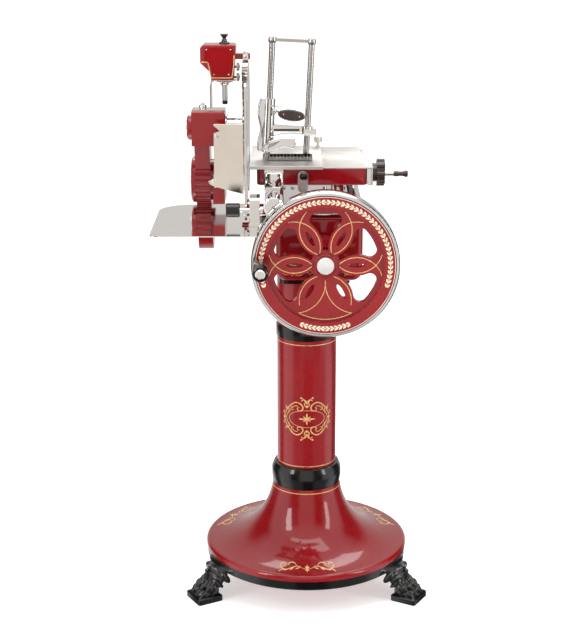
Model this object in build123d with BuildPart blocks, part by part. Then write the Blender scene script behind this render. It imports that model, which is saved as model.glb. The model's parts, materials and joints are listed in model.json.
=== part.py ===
"""Hand-wheel meat slicer on a column pedestal.  Millimetres, +Z up, origin on the floor under the column.

+X runs along the meat table away from the blade, -Y faces the person who turns the wheel.
"""
from math import asin, atan2, cos, degrees, pi, radians, sin, sqrt, tan
import os

from build123d import *

# ---------------------------------------------------------------- driving dimensions
GAP = 0.3                    # clearance between parts that only face each other
RUN = 0.05                   # radial clearance of a running fit

RIM_RADIUS = 265             # red bell base
RING_BOTTOM = 73             # black ring under the bell
RING_TOP = 98
BELL_LIP_TOP = 114
BELL_TOP = 272
BELL_NECK = 88
FOOT_REACH = 341             # radius of the outer edge of each paw
FOOT_WIDTH = 75
COLUMN_RADIUS = 76.5
COLUMN_TOP = 828
BASE_BOTTOM = 848            # cast frame of the machine
BASE_TOP = 1015
BASE_LEFT, BASE_RIGHT = -78, 134
BASE_FRONT, BASE_BACK = -150, 250
WALL = 9

WHEEL_X, WHEEL_Z = 40, 917   # axis of the hand wheel
WHEEL_FRONT, WHEEL_BACK = -270, -226
WHEEL_FACE_RADIUS = 168
WHEEL_RADIUS = 177
RIM_INNER = 139
PETAL_CENTRE = 86            # six circles round the hub draw the open flower
PETAL_RADIUS = 68
HANDLE_RADIUS = 153
WHEEL_SHAFT = 12

CROSS_Y = 150                # cross shaft behind the hand wheel shaft, same height
CROSS_SHAFT = 10
GEAR_TEETH = 20
GEAR_PITCH = 36

BLADE_Z = 1205
BLADE_RADIUS = 150
BLADE_RIGHT, BLADE_LEFT = -146.5, -150.5
BLADE_SHAFT = 9
CHAIN_X = -262
DRIVE_TEETH, DRIVE_PITCH = 36, 42
DRIVEN_TEETH, DRIVEN_PITCH = 12, 14
CASE_LEFT, CASE_RIGHT = -281, -243

TABLE_TOP = 1118
TABLE_FRONT, TABLE_BACK = -75, 230
TABLE_LEFT = -143
CARRIAGE_BOTTOM = 1073
CARRIAGE_LEFT, CARRIAGE_RIGHT = -125, 145
CARRIAGE_BACK = 215
BAR_X, BAR_Z, BAR_RADIUS = -83, 1048, 22
RAIL_X, RAIL_Z, RAIL_RADIUS = 75, 1050, 10
SCREW_Y, SCREW_Z, SCREW_RADIUS = -21, 1096, 7
TOWER_Y = 20
TOWER_LEAN = 2.8
ROD_RADIUS = 7.5
ROD_SPACING = 97
PLATE_TOP = TABLE_TOP + 4.4

ROCKER_Z = 870               # pivot of the slotted rocker
ROCKER_LENGTH = 190
PIN_OFFSET = 25              # carriage pin behind mid-stroke at rest
MAX_SWING = 85
CRANK_RADIUS = (WHEEL_Z - ROCKER_Z) * sin(atan2(MAX_SWING, ROCKER_LENGTH))
ROCKER_TILT = degrees(atan2(PIN_OFFSET, ROCKER_LENGTH))
TRAY_TOP = 1000

os.makedirs("parts", exist_ok=True)


# ---------------------------------------------------------------- helpers
def along_x(x, y, z):
    """Plane facing +X: local x is +Y, local y is +Z."""
    return Plane(origin=(x, y, z), x_dir=(0, 1, 0), z_dir=(1, 0, 0))


def along_y(x, y, z):
    """Plane facing +Y: local x is -X, local y is +Z."""
    return Plane(origin=(x, y, z), x_dir=(-1, 0, 0), z_dir=(0, 1, 0))


def towards_front(x, y, z):
    """Plane facing -Y: local x is +X, local y is +Z."""
    return Plane(origin=(x, y, z), x_dir=(1, 0, 0), z_dir=(0, -1, 0))


def round_bar(plane, radius, length, mode=Mode.ADD):
    """Straight round bar, or bore, from a plane along its normal."""
    with BuildSketch(plane) as disc:
        Circle(radius)
    extrude(disc.sketch, amount=length, mode=mode)


def block(x, y, z, mode=Mode.ADD):
    """Box between pairs of X, Y and Z values."""
    with BuildSketch(Plane.XY.offset(z[0])) as footprint:
        with Locations(((x[0] + x[1]) / 2, (y[0] + y[1]) / 2)):
            Rectangle(x[1] - x[0], y[1] - y[0])
    extrude(footprint.sketch, amount=z[1] - z[0], mode=mode)


def turned(plane, points, mode=Mode.ADD):
    """Solid of revolution about the normal of a plane from (radius, height) points."""
    with BuildSketch(Plane(origin=plane.origin, x_dir=plane.x_dir, z_dir=-plane.y_dir)) as profile:
        with BuildLine():
            Polyline(*points, close=True)
        make_face()
    revolve(profile.sketch, axis=Axis(plane.origin, plane.z_dir), mode=mode)


def outline(plane, points, length, mode=Mode.ADD):
    """Straight-sided outline extruded from a plane."""
    with BuildSketch(plane) as face:
        with BuildLine():
            Polyline(*points, close=True)
        make_face()
    extrude(face.sketch, amount=length, mode=mode)


def keep(piece, name):
    """Label a finished piece and write its file."""
    piece.part.label = name
    export_step(piece.part, f"parts/{name}.step")


# ---------------------------------------------------------------- pedestal
def bell_outline(radius_shift, low, neck, top):
    """Lower-left to upper-right half outline of the bell, pulled in by a wall thickness."""
    foot = (RIM_RADIUS - 9 - radius_shift, low)
    return Bezier(foot, (160 - radius_shift, low + 8), (99 - radius_shift, top - 90), (neck, top))


with BuildPart() as pedestal_base:
    with BuildSketch(Plane.XZ):
        with BuildLine():
            lip = Line((RIM_RADIUS, RING_TOP), (RIM_RADIUS, BELL_LIP_TOP - 9))
            RadiusArc(lip @ 1, (RIM_RADIUS - 9, BELL_LIP_TOP), -9)
            flare = bell_outline(0, BELL_LIP_TOP, BELL_NECK, BELL_TOP)
            Polyline(flare @ 1, (COLUMN_RADIUS + GAP, BELL_TOP), (COLUMN_RADIUS + GAP, 250), (60, 250),
                     (60, 235))
            inner = bell_outline(14, BELL_LIP_TOP - 11, 60, 235)
            Polyline(inner @ 0, (RIM_RADIUS - 23, RING_TOP), (RIM_RADIUS, RING_TOP))
        make_face()
    revolve(axis=Axis.Z)
keep(pedestal_base, "pedestal_base")

with BuildPart() as base_ring:
    turned(Plane.XY, [(236, RING_BOTTOM), (260, RING_BOTTOM), (263, RING_BOTTOM + 3), (263, RING_TOP),
                      (236, RING_TOP)])
keep(base_ring, "base_ring")


def make_foot(angle):
    """Cast paw: a curved leg under the ring that ends in a flat pad on the floor."""
    bearing = radians(angle)
    side = Plane(origin=(0, 0, 0), x_dir=(cos(bearing), sin(bearing), 0),
                 z_dir=(sin(bearing), -cos(bearing), 0))
    reach = FOOT_REACH
    with BuildPart() as foot:
        leg = [(236, 73), (263.4, 73), (263.4, 94), (278, 92), (300, 74), (322, 44), (reach - 6, 19),
               (reach - 4, 17), (272, 17), (268, 34), (252, 56)]
        with BuildSketch(side):
            with BuildLine():
                Polyline(*leg, close=True)
            make_face()
        extrude(amount=29, both=True)
        pad = Plane(origin=((reach - 35) * cos(bearing), (reach - 35) * sin(bearing), 0),
                    x_dir=(cos(bearing), sin(bearing), 0), z_dir=(0, 0, 1))
        with BuildSketch(pad):
            Rectangle(70, FOOT_WIDTH)
        extrude(amount=18, taper=4)
    return foot


FOOT_ANGLES = {"foot_left": 210, "foot_right": 330, "foot_rear": 90}
for foot_name, foot_angle in FOOT_ANGLES.items():
    keep(make_foot(foot_angle), foot_name)

with BuildPart() as column:
    round_bar(Plane.XY.offset(250), COLUMN_RADIUS, COLUMN_TOP - 250)
    round_bar(Plane.XY.offset(250), COLUMN_RADIUS - 7, COLUMN_TOP - 250, Mode.SUBTRACT)
keep(column, "column")

with BuildPart() as column_collars:
    inner_edge = COLUMN_RADIUS + GAP
    turned(Plane.XY, [(inner_edge, 272.3), (88, 272.3), (90.5, 290), (90.5, 312), (84, 326), (79, 328),
                      (inner_edge, 328)])
    turned(Plane.XY, [(inner_edge, 672), (78.6, 672), (79, 674), (79, 702), (78.6, 704), (inner_edge, 704)])
keep(column_collars, "column_collars")

with BuildPart() as head_plate:
    with BuildSketch(Plane.XY.offset(COLUMN_TOP)):
        with Locations((18, 30)):
            RectangleRounded(176, 250, 22)
    extrude(amount=BASE_BOTTOM - COLUMN_TOP)
keep(head_plate, "head_plate")

# ---------------------------------------------------------------- machine frame
apex = (WHEEL_X, CROSS_Y, WHEEL_Z)
with BuildPart() as machine_base:
    width = BASE_RIGHT - BASE_LEFT
    with BuildSketch(along_y((BASE_LEFT + BASE_RIGHT) / 2, BASE_FRONT,
                             (BASE_BOTTOM + BASE_TOP) / 2)) as front:
        Rectangle(width, BASE_TOP - BASE_BOTTOM)
        fillet(front.vertices().group_by(Axis.Z)[0], 26)
    extrude(amount=BASE_BACK - BASE_FRONT)
    fillet(machine_base.edges().filter_by(Axis.Z), 18)
    block((BASE_LEFT + WALL, BASE_RIGHT - WALL), (BASE_FRONT + WALL, BASE_BACK - WALL),
          (BASE_BOTTOM + 8, BASE_TOP - WALL), Mode.SUBTRACT)
    # swinging room for the rocker through the roof
    block((106, 126), (CROSS_Y - 86, CROSS_Y + 86), (BASE_TOP - 20, BASE_TOP + 1), Mode.SUBTRACT)
    # front boss, inner ribs and bores of the two shafts
    turned(towards_front(WHEEL_X, BASE_FRONT + WALL, WHEEL_Z), [(0, 0), (52, 0), (40, 30), (31, 64), (0, 64)])
    block((10, 70), (62, 74), (BASE_BOTTOM + 6, 950))
    block((60, 72), (CROSS_Y - 18, CROSS_Y + 18), (BASE_BOTTOM + 6, 945))
    round_bar(along_y(WHEEL_X, -220, WHEEL_Z), WHEEL_SHAFT + RUN, 320, Mode.SUBTRACT)
    round_bar(along_x(BASE_LEFT - 1, CROSS_Y, WHEEL_Z), CROSS_SHAFT + RUN, 152, Mode.SUBTRACT)
    round_bar(along_x(105, CROSS_Y, ROCKER_Z), 8, BASE_RIGHT - WALL - 104)
keep(machine_base, "machine_base")

with BuildPart() as deck_plate:
    deck = BASE_TOP + 3
    block((BASE_LEFT - 3, BASE_RIGHT + 3), (BASE_FRONT - 3, BASE_BACK + 3), (BASE_TOP, deck))
    block((106, 126), (CROSS_Y - 86, CROSS_Y + 86), (BASE_TOP, deck), Mode.SUBTRACT)
    for y in (-145, 216):
        block((BAR_X - 13, BAR_X + 13), (y, y + 30), (deck, BAR_Z - 12))
        block((RAIL_X - 9, RAIL_X + 9), (y, y + 30), (deck, RAIL_Z - 6))
    round_bar(along_y(BAR_X, -160, BAR_Z), BAR_RADIUS, 420, Mode.SUBTRACT)
    round_bar(along_y(RAIL_X, -160, RAIL_Z), RAIL_RADIUS, 420, Mode.SUBTRACT)
keep(deck_plate, "deck_plate")

with BuildPart() as guide_bars:
    turned(along_y(BAR_X, -221, BAR_Z), [(0, 0), (20, 0), (24, 3), (24, 7), (BAR_RADIUS, 7),
                                         (BAR_RADIUS, 521), (0, 521)])
    round_bar(along_y(RAIL_X, -150, RAIL_Z), RAIL_RADIUS, 450)
keep(guide_bars, "guide_bars")

# ---------------------------------------------------------------- gear housing on the left
def chain_case(x, top_radius, bottom_radius, length, mode=Mode.ADD):
    """Belt-shaped body round the blade shaft and the cross shaft."""
    with BuildSketch(along_x(x, 0, 0)) as belt:
        with Locations((0, BLADE_Z)):
            Circle(top_radius)
        with Locations((CROSS_Y, WHEEL_Z)):
            Circle(bottom_radius)
        make_hull()
    extrude(belt.sketch, amount=length, mode=mode)


DRUM_Y, DRUM_Z = 60, 1063
LOBES = 22
with BuildPart() as gear_housing:
    chain_case(CASE_LEFT, 31, 54, CASE_RIGHT - CASE_LEFT)
    with BuildSketch(along_x(CASE_LEFT, DRUM_Y, DRUM_Z)):
        Circle(54.5)
        with PolarLocations(52, LOBES):
            Circle(7)
    extrude(amount=CASE_RIGHT - CASE_LEFT)
    with BuildSketch(along_x(CASE_RIGHT, DRUM_Y, DRUM_Z)):
        Circle(52)
    extrude(amount=10)
    block((-286, -204), (-35, 45), (1163, 1249))
    fillet(gear_housing.edges().filter_by(Axis.X).group_by(Axis.Z)[-1], 8)
    block((-233, -204), (-70, 50), (1026, 1066))
    round_bar(Plane(origin=(-225, -62, 1066)), 4, 36)
    round_bar(along_x(CASE_RIGHT - 2, CROSS_Y, WHEEL_Z), 24, BASE_LEFT - CASE_RIGHT + 2)
    round_bar(along_x(CASE_RIGHT - 2, 118, 975), 13, BASE_LEFT - CASE_RIGHT + 2)
    chain_case(CASE_LEFT + 5, 25, 49, CASE_RIGHT - CASE_LEFT - 10, Mode.SUBTRACT)
    round_bar(along_x(CASE_RIGHT - 6, CROSS_Y, WHEEL_Z), CROSS_SHAFT + RUN, 200, Mode.SUBTRACT)
    round_bar(along_x(CASE_RIGHT - 6, 0, BLADE_Z), BLADE_SHAFT + RUN, 60, Mode.SUBTRACT)
keep(gear_housing, "gear_housing")

with BuildPart() as housing_caps:
    turned(along_x(-286, 0, BLADE_Z), [(0, 0), (31, 0), (31, -8), (27, -12), (0, -13)])
    turned(along_x(CASE_LEFT, DRUM_Y, DRUM_Z), [(0, 0), (58, 0), (58, -7), (53, -11), (0, -12)])
keep(housing_caps, "housing_caps")

with BuildPart() as blade_sleeve:
    round_bar(along_x(-204, 0, BLADE_Z), 28, 44)
    round_bar(along_x(-204, 0, BLADE_Z), BLADE_SHAFT + 3, 44, Mode.SUBTRACT)
keep(blade_sleeve, "blade_sleeve")

with BuildPart() as drive_chain:
    for x in (CHAIN_X - 4.4, CHAIN_X + 3.2):
        chain_case(x, DRIVEN_PITCH + 2.8, DRIVE_PITCH + 2.8, 1.2)
        chain_case(x, DRIVEN_PITCH - 2.8, DRIVE_PITCH - 2.8, 1.2, Mode.SUBTRACT)
    span = sqrt(CROSS_Y ** 2 + (BLADE_Z - WHEEL_Z) ** 2)
    lean = atan2(BLADE_Z - WHEEL_Z, -CROSS_Y)
    spread = asin((DRIVE_PITCH - DRIVEN_PITCH) / span)
    for side in (1, -1):
        normal = lean - side * (pi / 2 - spread)
        along = lean + side * spread
        start_y = CROSS_Y + DRIVE_PITCH * cos(normal)
        start_z = WHEEL_Z + DRIVE_PITCH * sin(normal)
        for link in range(4, 36):
            run = link * span * cos(spread) / 40
            round_bar(along_x(CHAIN_X - 3.6, start_y + run * cos(along), start_z + run * sin(along)), 2, 7.2)
keep(drive_chain, "drive_chain")

# ---------------------------------------------------------------- blade
with BuildPart() as blade:
    turned(along_x(BLADE_RIGHT, 0, BLADE_Z),
           [(BLADE_SHAFT + 0.06, 0), (BLADE_RADIUS, 0), (BLADE_RADIUS, -0.4), (BLADE_RADIUS - 14, -3),
            (BLADE_RADIUS - 22, -4), (BLADE_SHAFT + 0.06, -4)])
keep(blade, "blade")

with BuildPart() as blade_shaft:
    round_bar(along_x(CHAIN_X - 9, 0, BLADE_Z), BLADE_SHAFT, BLADE_RIGHT - CHAIN_X + 9)
    round_bar(along_x(BLADE_LEFT - 5, 0, BLADE_Z), 26, 5)
keep(blade_shaft, "blade_shaft")


def make_sprocket(y, z, pitch, teeth, bore, hub):
    """Chain wheel with round tooth gaps and a hub on its right side."""
    with BuildPart() as sprocket:
        round_bar(along_x(CHAIN_X - 2, y, z), pitch + 1.6, 4)
        with BuildSketch(along_x(CHAIN_X - 2, y, z)):
            with PolarLocations(pitch, teeth):
                Circle(2.4)
        extrude(amount=4, mode=Mode.SUBTRACT)
        round_bar(along_x(CHAIN_X + 2, y, z), hub, 10)
        round_bar(along_x(CHAIN_X - 3, y, z), bore + 0.06, 16, Mode.SUBTRACT)
    return sprocket


keep(make_sprocket(CROSS_Y, WHEEL_Z, DRIVE_PITCH, DRIVE_TEETH, CROSS_SHAFT, 18), "drive_sprocket")
keep(make_sprocket(0, BLADE_Z, DRIVEN_PITCH, DRIVEN_TEETH, BLADE_SHAFT, 10.8), "blade_sprocket")


def yz_arc(radius, angle):
    """Point of a circle round the blade axis, as (y, z) from that axis; 0 is +Y and 90 is up."""
    return (radius * cos(radians(angle)), radius * sin(radians(angle)))


with BuildPart() as blade_guard:
    for x, length, inner_radius in ((-160, 14, 153), (-160, 3, 29)):
        with BuildSketch(along_x(x, 0, BLADE_Z)):
            Circle(BLADE_RADIUS + 18)
            Circle(inner_radius, mode=Mode.SUBTRACT)
        extrude(amount=length)
    cut = [(0, 0), yz_arc(400, 120), yz_arc(600, 180), yz_arc(400, 280)]
    outline(along_x(-170, 0, BLADE_Z), cut, 40, Mode.SUBTRACT)
    with BuildSketch(along_x(-160, 0, BLADE_Z)):
        Circle(44)
        Circle(29, mode=Mode.SUBTRACT)
    extrude(amount=3)
    # way in for the two small stones of the sharpener
    block((-170, -140), (-36, -2), (1316, 1380), Mode.SUBTRACT)
keep(blade_guard, "blade_guard")

with BuildPart() as gauge_plate:
    plate_front = -188
    outline(along_x(-152, 0, 0), [(plate_front, 1006), (-58, 1006), (-58, 1334), (plate_front, 1334)], 5)
    round_bar(along_x(-153, 0, BLADE_Z), BLADE_RADIUS + 2, 8, Mode.SUBTRACT)
    for z in (1022, 1056):
        round_bar(along_x(-148, -170, z), 5, 26)
    fillet(gauge_plate.edges().filter_by(Axis.X).group_by(Axis.Y)[0], 12)
keep(gauge_plate, "gauge_plate")

KNOB_Y, KNOB_Z = -204, 1038
with BuildPart() as gauge_bracket:
    outline(Plane.XY.offset(988), [(-142, -216), (-112, -216), (-112, -150), (BASE_LEFT, -140),
                                   (BASE_LEFT, -104), (-142, -140)], 20)
    block((-140, -116), (-215, -150), (1008, 1068))
    fillet(gauge_bracket.edges().filter_by(Axis.X).group_by(Axis.Z)[-1], 9)
    round_bar(along_x(-145, KNOB_Y, KNOB_Z), 5 + RUN, 40, Mode.SUBTRACT)
    for z in (1022, 1056):
        round_bar(along_x(-145, -170, z), 5 + RUN, 40, Mode.SUBTRACT)
    for y in (-90, 0):
        block((-330, BASE_LEFT), (y, y + 16), (984, 997.5))
keep(gauge_bracket, "gauge_bracket")

with BuildPart() as thickness_shaft:
    round_bar(along_x(-190, KNOB_Y, KNOB_Z), 5, 80)
    round_bar(along_x(-114, KNOB_Y, KNOB_Z), 9, 6)
keep(thickness_shaft, "thickness_shaft")

with BuildPart() as thickness_knob:
    turned(along_x(-196, KNOB_Y, KNOB_Z), [(0, 0), (15, 0), (17, 2), (17, 31), (15, 33), (5.05, 33),
                                           (5.05, 5.5), (0, 5.5)])
keep(thickness_knob, "thickness_knob")

with BuildPart() as receiving_tray:
    tray_outline = [(-371, -318), (-121, -318), (-121, -222), (-158, -222), (-158, 50), (-371, 50)]
    outline(Plane.XY.offset(TRAY_TOP - 2.5), tray_outline, 2.5)
    for corner, radius in ((0, 22), (-1, 80)):
        left_corners = receiving_tray.edges().filter_by(Axis.Z).group_by(Axis.X)[0].sort_by(Axis.Y)
        fillet(left_corners[corner], radius)
keep(receiving_tray, "receiving_tray")

with BuildPart() as deflector_plate:
    face = [(-229, 1226), (-157, 1226), (-157, 1054), (-205, 1066), (-238, 1077), (-243, 1086), (-229, 1094),
            (-229, 1204), (-214, 1209), (-229, 1222)]
    outline(towards_front(0, -88, 0), face, 2)
    round_bar(Plane(origin=(-225, -62, 1070)), 8, 28)
    block((-229, -221), (-88, -66), (1070, 1098))
    round_bar(Plane(origin=(-225, -62, 1060)), 4 + RUN, 50, Mode.SUBTRACT)
keep(deflector_plate, "deflector_plate")

# ---------------------------------------------------------------- sharpener above the blade
HEAD_X = -204
with BuildPart() as sharpener_bracket:
    block((-284, -204), (-22, 22), (1249, 1251.5))
    block((-238, -235.5), (-14, 14), (1251.5, 1320.5))
    block((-238, -176), (-16, 16), (1320.5, 1323))
    with BuildSketch(Plane.XY.offset(1320)):
        with Locations((HEAD_X + 7, 0)):
            SlotOverall(30, 13)
    extrude(amount=4, mode=Mode.SUBTRACT)
keep(sharpener_bracket, "sharpener_bracket")

with BuildPart() as sharpener_casing:
    shell = [(-262, 1402), (-253, 1410), (-179, 1410), (-175, 1405), (-181, 1323.5), (-235, 1323.5),
             (-240, 1345), (-262, 1366)]
    outline(towards_front(0, 31, 0), shell, 62)
    fillet(sharpener_casing.edges().filter_by(Axis.X), 5)
    block((-250, -186), (-25, 25), (1330, 1403), Mode.SUBTRACT)
    block((-190, -170), (-13.4, 13.4), (1373, 1387), Mode.SUBTRACT)
    round_bar(Plane(origin=(HEAD_X, 0, 1320)), 5 + RUN, 100, Mode.SUBTRACT)
    for z in (1322, 1347):
        round_bar(along_x(-188, -19, z + 9), 3, 22)
keep(sharpener_casing, "sharpener_casing")


def make_grinding_wheel(z):
    """Small stone that runs on a stub beside the casing."""
    with BuildPart() as stone:
        turned(along_x(-174, -19, z), [(3.05, 0), (10, 0), (10, 5), (8, 7), (3.05, 7)])
    return stone


keep(make_grinding_wheel(1356), "grinding_wheel")
keep(make_grinding_wheel(1331), "honing_wheel")

with BuildPart() as sharpener_plunger:
    turned(Plane(origin=(HEAD_X, 0, 0)), [(0, 1270), (5, 1270), (6.5, 1272), (6.5, 1308), (5, 1308),
                                          (5, 1418), (7, 1418), (4, 1423), (10, 1431), (10, 1433),
                                          (0, 1433)])
keep(sharpener_plunger, "sharpener_plunger")

with BuildPart() as sharpener_arm:
    block((-185, -141), (-13, 13), (1373.4, 1386.6))
keep(sharpener_arm, "sharpener_arm")

# ---------------------------------------------------------------- hand wheel
def wheel_plane(y):
    """Plane across the hand wheel, seen from the front."""
    return towards_front(WHEEL_X, y, WHEEL_Z)


with BuildSketch() as petal:
    # opening between two spokes: inside its own circle, outside both neighbours
    Circle(127)
    for turn, cut_mode in ((0, Mode.INTERSECT), (60, Mode.SUBTRACT), (-60, Mode.SUBTRACT)):
        with Locations((PETAL_CENTRE * cos(radians(turn)), PETAL_CENTRE * sin(radians(turn)))):
            Circle(PETAL_RADIUS, mode=cut_mode)
    Circle(36, mode=Mode.SUBTRACT)
    fillet(petal.vertices().sort_by(Axis.X)[-2:], 16)

with BuildPart() as flywheel:
    with BuildSketch(wheel_plane(-246)):
        Circle(RIM_INNER + 2)
        for step in (-2, -1, 0, 1, 2):
            add(petal.sketch.rotate(Axis.Z, 90 + 60 * step), mode=Mode.SUBTRACT)
        with PolarLocations(73, 6):
            Ellipse(19, 5.5, mode=Mode.SUBTRACT)
    extrude(amount=16)
    for radius, inner_radius, back, front_face in ((168, RIM_INNER, -228, WHEEL_FRONT),
                                                   (30, 12.06, -222, -267)):
        with BuildSketch(wheel_plane(back)):
            Circle(radius)
            Circle(inner_radius, mode=Mode.SUBTRACT)
        extrude(amount=back - front_face)
    round_bar(wheel_plane(-220), 12.06, 60, Mode.SUBTRACT)
keep(flywheel, "flywheel")

with BuildPart() as flywheel_rim:
    turned(wheel_plane(WHEEL_BACK), [(168.05, 0), (175, 0), (WHEEL_RADIUS, 3), (WHEEL_RADIUS, 37),
                                     (174, 42), (168.05, 42)])
keep(flywheel_rim, "flywheel_rim")

with BuildPart() as flywheel_shaft:
    round_bar(along_y(WHEEL_X, -267, WHEEL_Z), WHEEL_SHAFT, 379)
    turned(wheel_plane(-267), [(0, 0), (20.5, 0), (20.5, 4), (18, 7), (0, 9)])
keep(flywheel_shaft, "flywheel_shaft")


def make_bevel_gear(x_dir, z_dir, bore, turn):
    """Mitre gear whose pitch cone has its tip at the crossing of the two shafts."""
    plane = Plane(origin=apex, x_dir=x_dir, z_dir=z_dir)
    big, small = GEAR_PITCH, GEAR_PITCH * 2 / 3
    rise = 1.9 / sqrt(2)
    with BuildPart(mode=Mode.PRIVATE) as gap:
        for size in (1.25, 0.5):
            reach = big * size
            across = Plane(origin=(reach, 0, -reach), x_dir=(0, 1, 0), z_dir=(1, 0, -1))
            with BuildSketch(across):
                with BuildLine():
                    Polyline((-3.0 * size, -2.4 * size), (3.0 * size, -2.4 * size), (4.6 * size, 3.2 * size),
                             (-4.6 * size, 3.2 * size), close=True)
                make_face()
        loft(ruled=True)
    with BuildPart() as gear:
        turned(plane, [(bore + 0.06, -small - 3), (small - 3, -small - 3),
                       (small + rise * 2 / 3, -small + rise * 2 / 3), (big + rise, -big + rise),
                       (big - 3, -big - 3), (big - 6, -big - 9), (bore + 0.06, -big - 9)])
        for number in range(GEAR_TEETH):
            spin = turn + (number + 0.5) * 360 / GEAR_TEETH
            add(plane.location * Rot(0, 0, spin) * gap.part, mode=Mode.SUBTRACT)
    return gear


keep(make_bevel_gear((-1, 0, 0), (0, 1, 0), WHEEL_SHAFT, 0), "bevel_gear")
keep(make_bevel_gear((0, -1, 0), (1, 0, 0), CROSS_SHAFT, 180 / GEAR_TEETH), "bevel_pinion")

HANDLE_X = WHEEL_X - HANDLE_RADIUS
with BuildPart() as handle_spindle:
    turned(towards_front(HANDLE_X, WHEEL_FRONT, WHEEL_Z),
           [(0, 0), (13, 0), (13, 4), (7, 5), (7, 80), (12, 80), (12, 84), (9, 87), (0, 87)])
keep(handle_spindle, "handle_spindle")

with BuildPart() as crank_handle:
    turned(towards_front(HANDLE_X, WHEEL_FRONT - 6, WHEEL_Z),
           [(7.05, 0), (17, 0), (20, 5), (20, 66), (18, 76), (15, 78), (14, 73), (7.05, 73)])
keep(crank_handle, "crank_handle")

# ---------------------------------------------------------------- cross shaft, crank and rocker
with BuildPart() as cross_shaft:
    round_bar(along_x(CHAIN_X - 9, CROSS_Y, WHEEL_Z), CROSS_SHAFT, 92 - CHAIN_X + 9)
keep(cross_shaft, "cross_shaft")

half_link = (WHEEL_Z - ROCKER_Z) * cos(radians(ROCKER_TILT))
link = half_link + sqrt(half_link ** 2 - (WHEEL_Z - ROCKER_Z) ** 2 + CRANK_RADIUS ** 2)
CRANK_PIN_Y = CROSS_Y + link * sin(radians(ROCKER_TILT))
CRANK_PIN_Z = ROCKER_Z + link * cos(radians(ROCKER_TILT))
with BuildPart() as crank_disc:
    round_bar(along_x(92, CROSS_Y, WHEEL_Z), 28, 9)
    round_bar(along_x(101, CRANK_PIN_Y, CRANK_PIN_Z), 5, 8)
keep(crank_disc, "crank_disc")

with BuildPart() as rocker_arm:
    tilt = radians(ROCKER_TILT)
    rocker_plane = Plane(origin=(110.5, CROSS_Y, ROCKER_Z), x_dir=(0, cos(tilt), -sin(tilt)), z_dir=(1, 0, 0))
    with BuildSketch(rocker_plane):
        Circle(13)
        with Locations((0, 112)):
            Rectangle(30, 224)
        Circle(8 + RUN, mode=Mode.SUBTRACT)
        with Locations((0, 48)):
            SlotOverall(64, 14, rotation=90, mode=Mode.SUBTRACT)
        with Locations((0, 204)):
            Rectangle(18, 44, mode=Mode.SUBTRACT)
    extrude(amount=10)
keep(rocker_arm, "rocker_arm")

# ---------------------------------------------------------------- sliding carriage
NUT = (-100, -80)
NUT_TRAVEL = 95
slot_x = (NUT[0] - 2, NUT[1] + NUT_TRAVEL + 2)
with BuildPart() as carriage_body:
    block((CARRIAGE_LEFT, CARRIAGE_RIGHT), (TABLE_FRONT, CARRIAGE_BACK), (CARRIAGE_BOTTOM, TABLE_TOP - 4))
    fillet(carriage_body.edges().filter_by(Axis.Z), 10)
    fillet(carriage_body.edges().group_by(Axis.Z)[0], 5)
    block((CARRIAGE_LEFT + 7, CARRIAGE_RIGHT - 7), (TABLE_FRONT + 7, CARRIAGE_BACK - 7),
          (CARRIAGE_BOTTOM - 1, TABLE_TOP - 10), Mode.SUBTRACT)
    block(slot_x, (-35, -7), (1100, 1120), Mode.SUBTRACT)
    round_bar(along_x(CARRIAGE_RIGHT - 8, SCREW_Y, SCREW_Z), SCREW_RADIUS + RUN, 12, Mode.SUBTRACT)
    with BuildSketch(along_x(CARRIAGE_LEFT + 7, SCREW_Y, SCREW_Z)):
        Circle(12)
        Circle(SCREW_RADIUS + RUN, mode=Mode.SUBTRACT)
    extrude(amount=10)
keep(carriage_body, "carriage_body")

with BuildPart() as carriage_bearings:
    block((BAR_X - 23, BAR_X + 23), (-100, TABLE_FRONT), (1040, TABLE_TOP - 4))
    block((BAR_X - 23, BAR_X + 23), (170, 200), (1040, TABLE_TOP - 10))
    for y in (-62, 170):
        block((RAIL_X - 13, RAIL_X + 13), (y, y + 30), (RAIL_Z - 3, TABLE_TOP - 10))
    round_bar(along_y(BAR_X, -120, BAR_Z), BAR_RADIUS + RUN, 400, Mode.SUBTRACT)
    round_bar(along_y(RAIL_X, -120, RAIL_Z), RAIL_RADIUS + RUN, 400, Mode.SUBTRACT)
    # drive pin that the rocker pushes, on its lug
    block((123, 133), (CROSS_Y + PIN_OFFSET - 10, CROSS_Y + PIN_OFFSET + 10), (1050, TABLE_TOP - 10))
    round_bar(along_x(108, CROSS_Y + PIN_OFFSET, ROCKER_Z + ROCKER_LENGTH), 5, 16)
    # strap that hangs in front and carries the lock knob
    with BuildSketch(towards_front(-12, TABLE_FRONT, 0)):
        with Locations((0, 1082)):
            SlotOverall(54, 25, rotation=90)
        with Locations((2, 1097)):
            Circle(3 + RUN, mode=Mode.SUBTRACT)
    extrude(amount=3)
keep(carriage_bearings, "carriage_bearings")

with BuildPart() as lock_knob:
    turned(towards_front(-10, TABLE_FRONT - 0.2, 1097), [(0, 0), (3, 0), (3, 4), (10, 5), (10, 10), (7, 14),
                                                         (0, 15)])
keep(lock_knob, "lock_knob")

with BuildPart() as carriage_table:
    outline(Plane.XY.offset(TABLE_TOP - 4), [(TABLE_LEFT, TABLE_FRONT), (160, TABLE_FRONT), (160, 33),
                                             (147, 35), (139, TABLE_BACK), (TABLE_LEFT, TABLE_BACK)], 4)
    block(slot_x, (-35, -7), (1110, 1120), Mode.SUBTRACT)
keep(carriage_table, "carriage_table")

with BuildPart() as end_bracket:
    block((CARRIAGE_RIGHT, 160), (TABLE_FRONT, 33), (CARRIAGE_BOTTOM, TABLE_TOP - 4))
    fillet(end_bracket.edges().filter_by(Axis.Z).group_by(Axis.X)[-1], 6)
    round_bar(along_x(140, SCREW_Y, SCREW_Z), SCREW_RADIUS + RUN, 30, Mode.SUBTRACT)
keep(end_bracket, "end_bracket")

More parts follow.
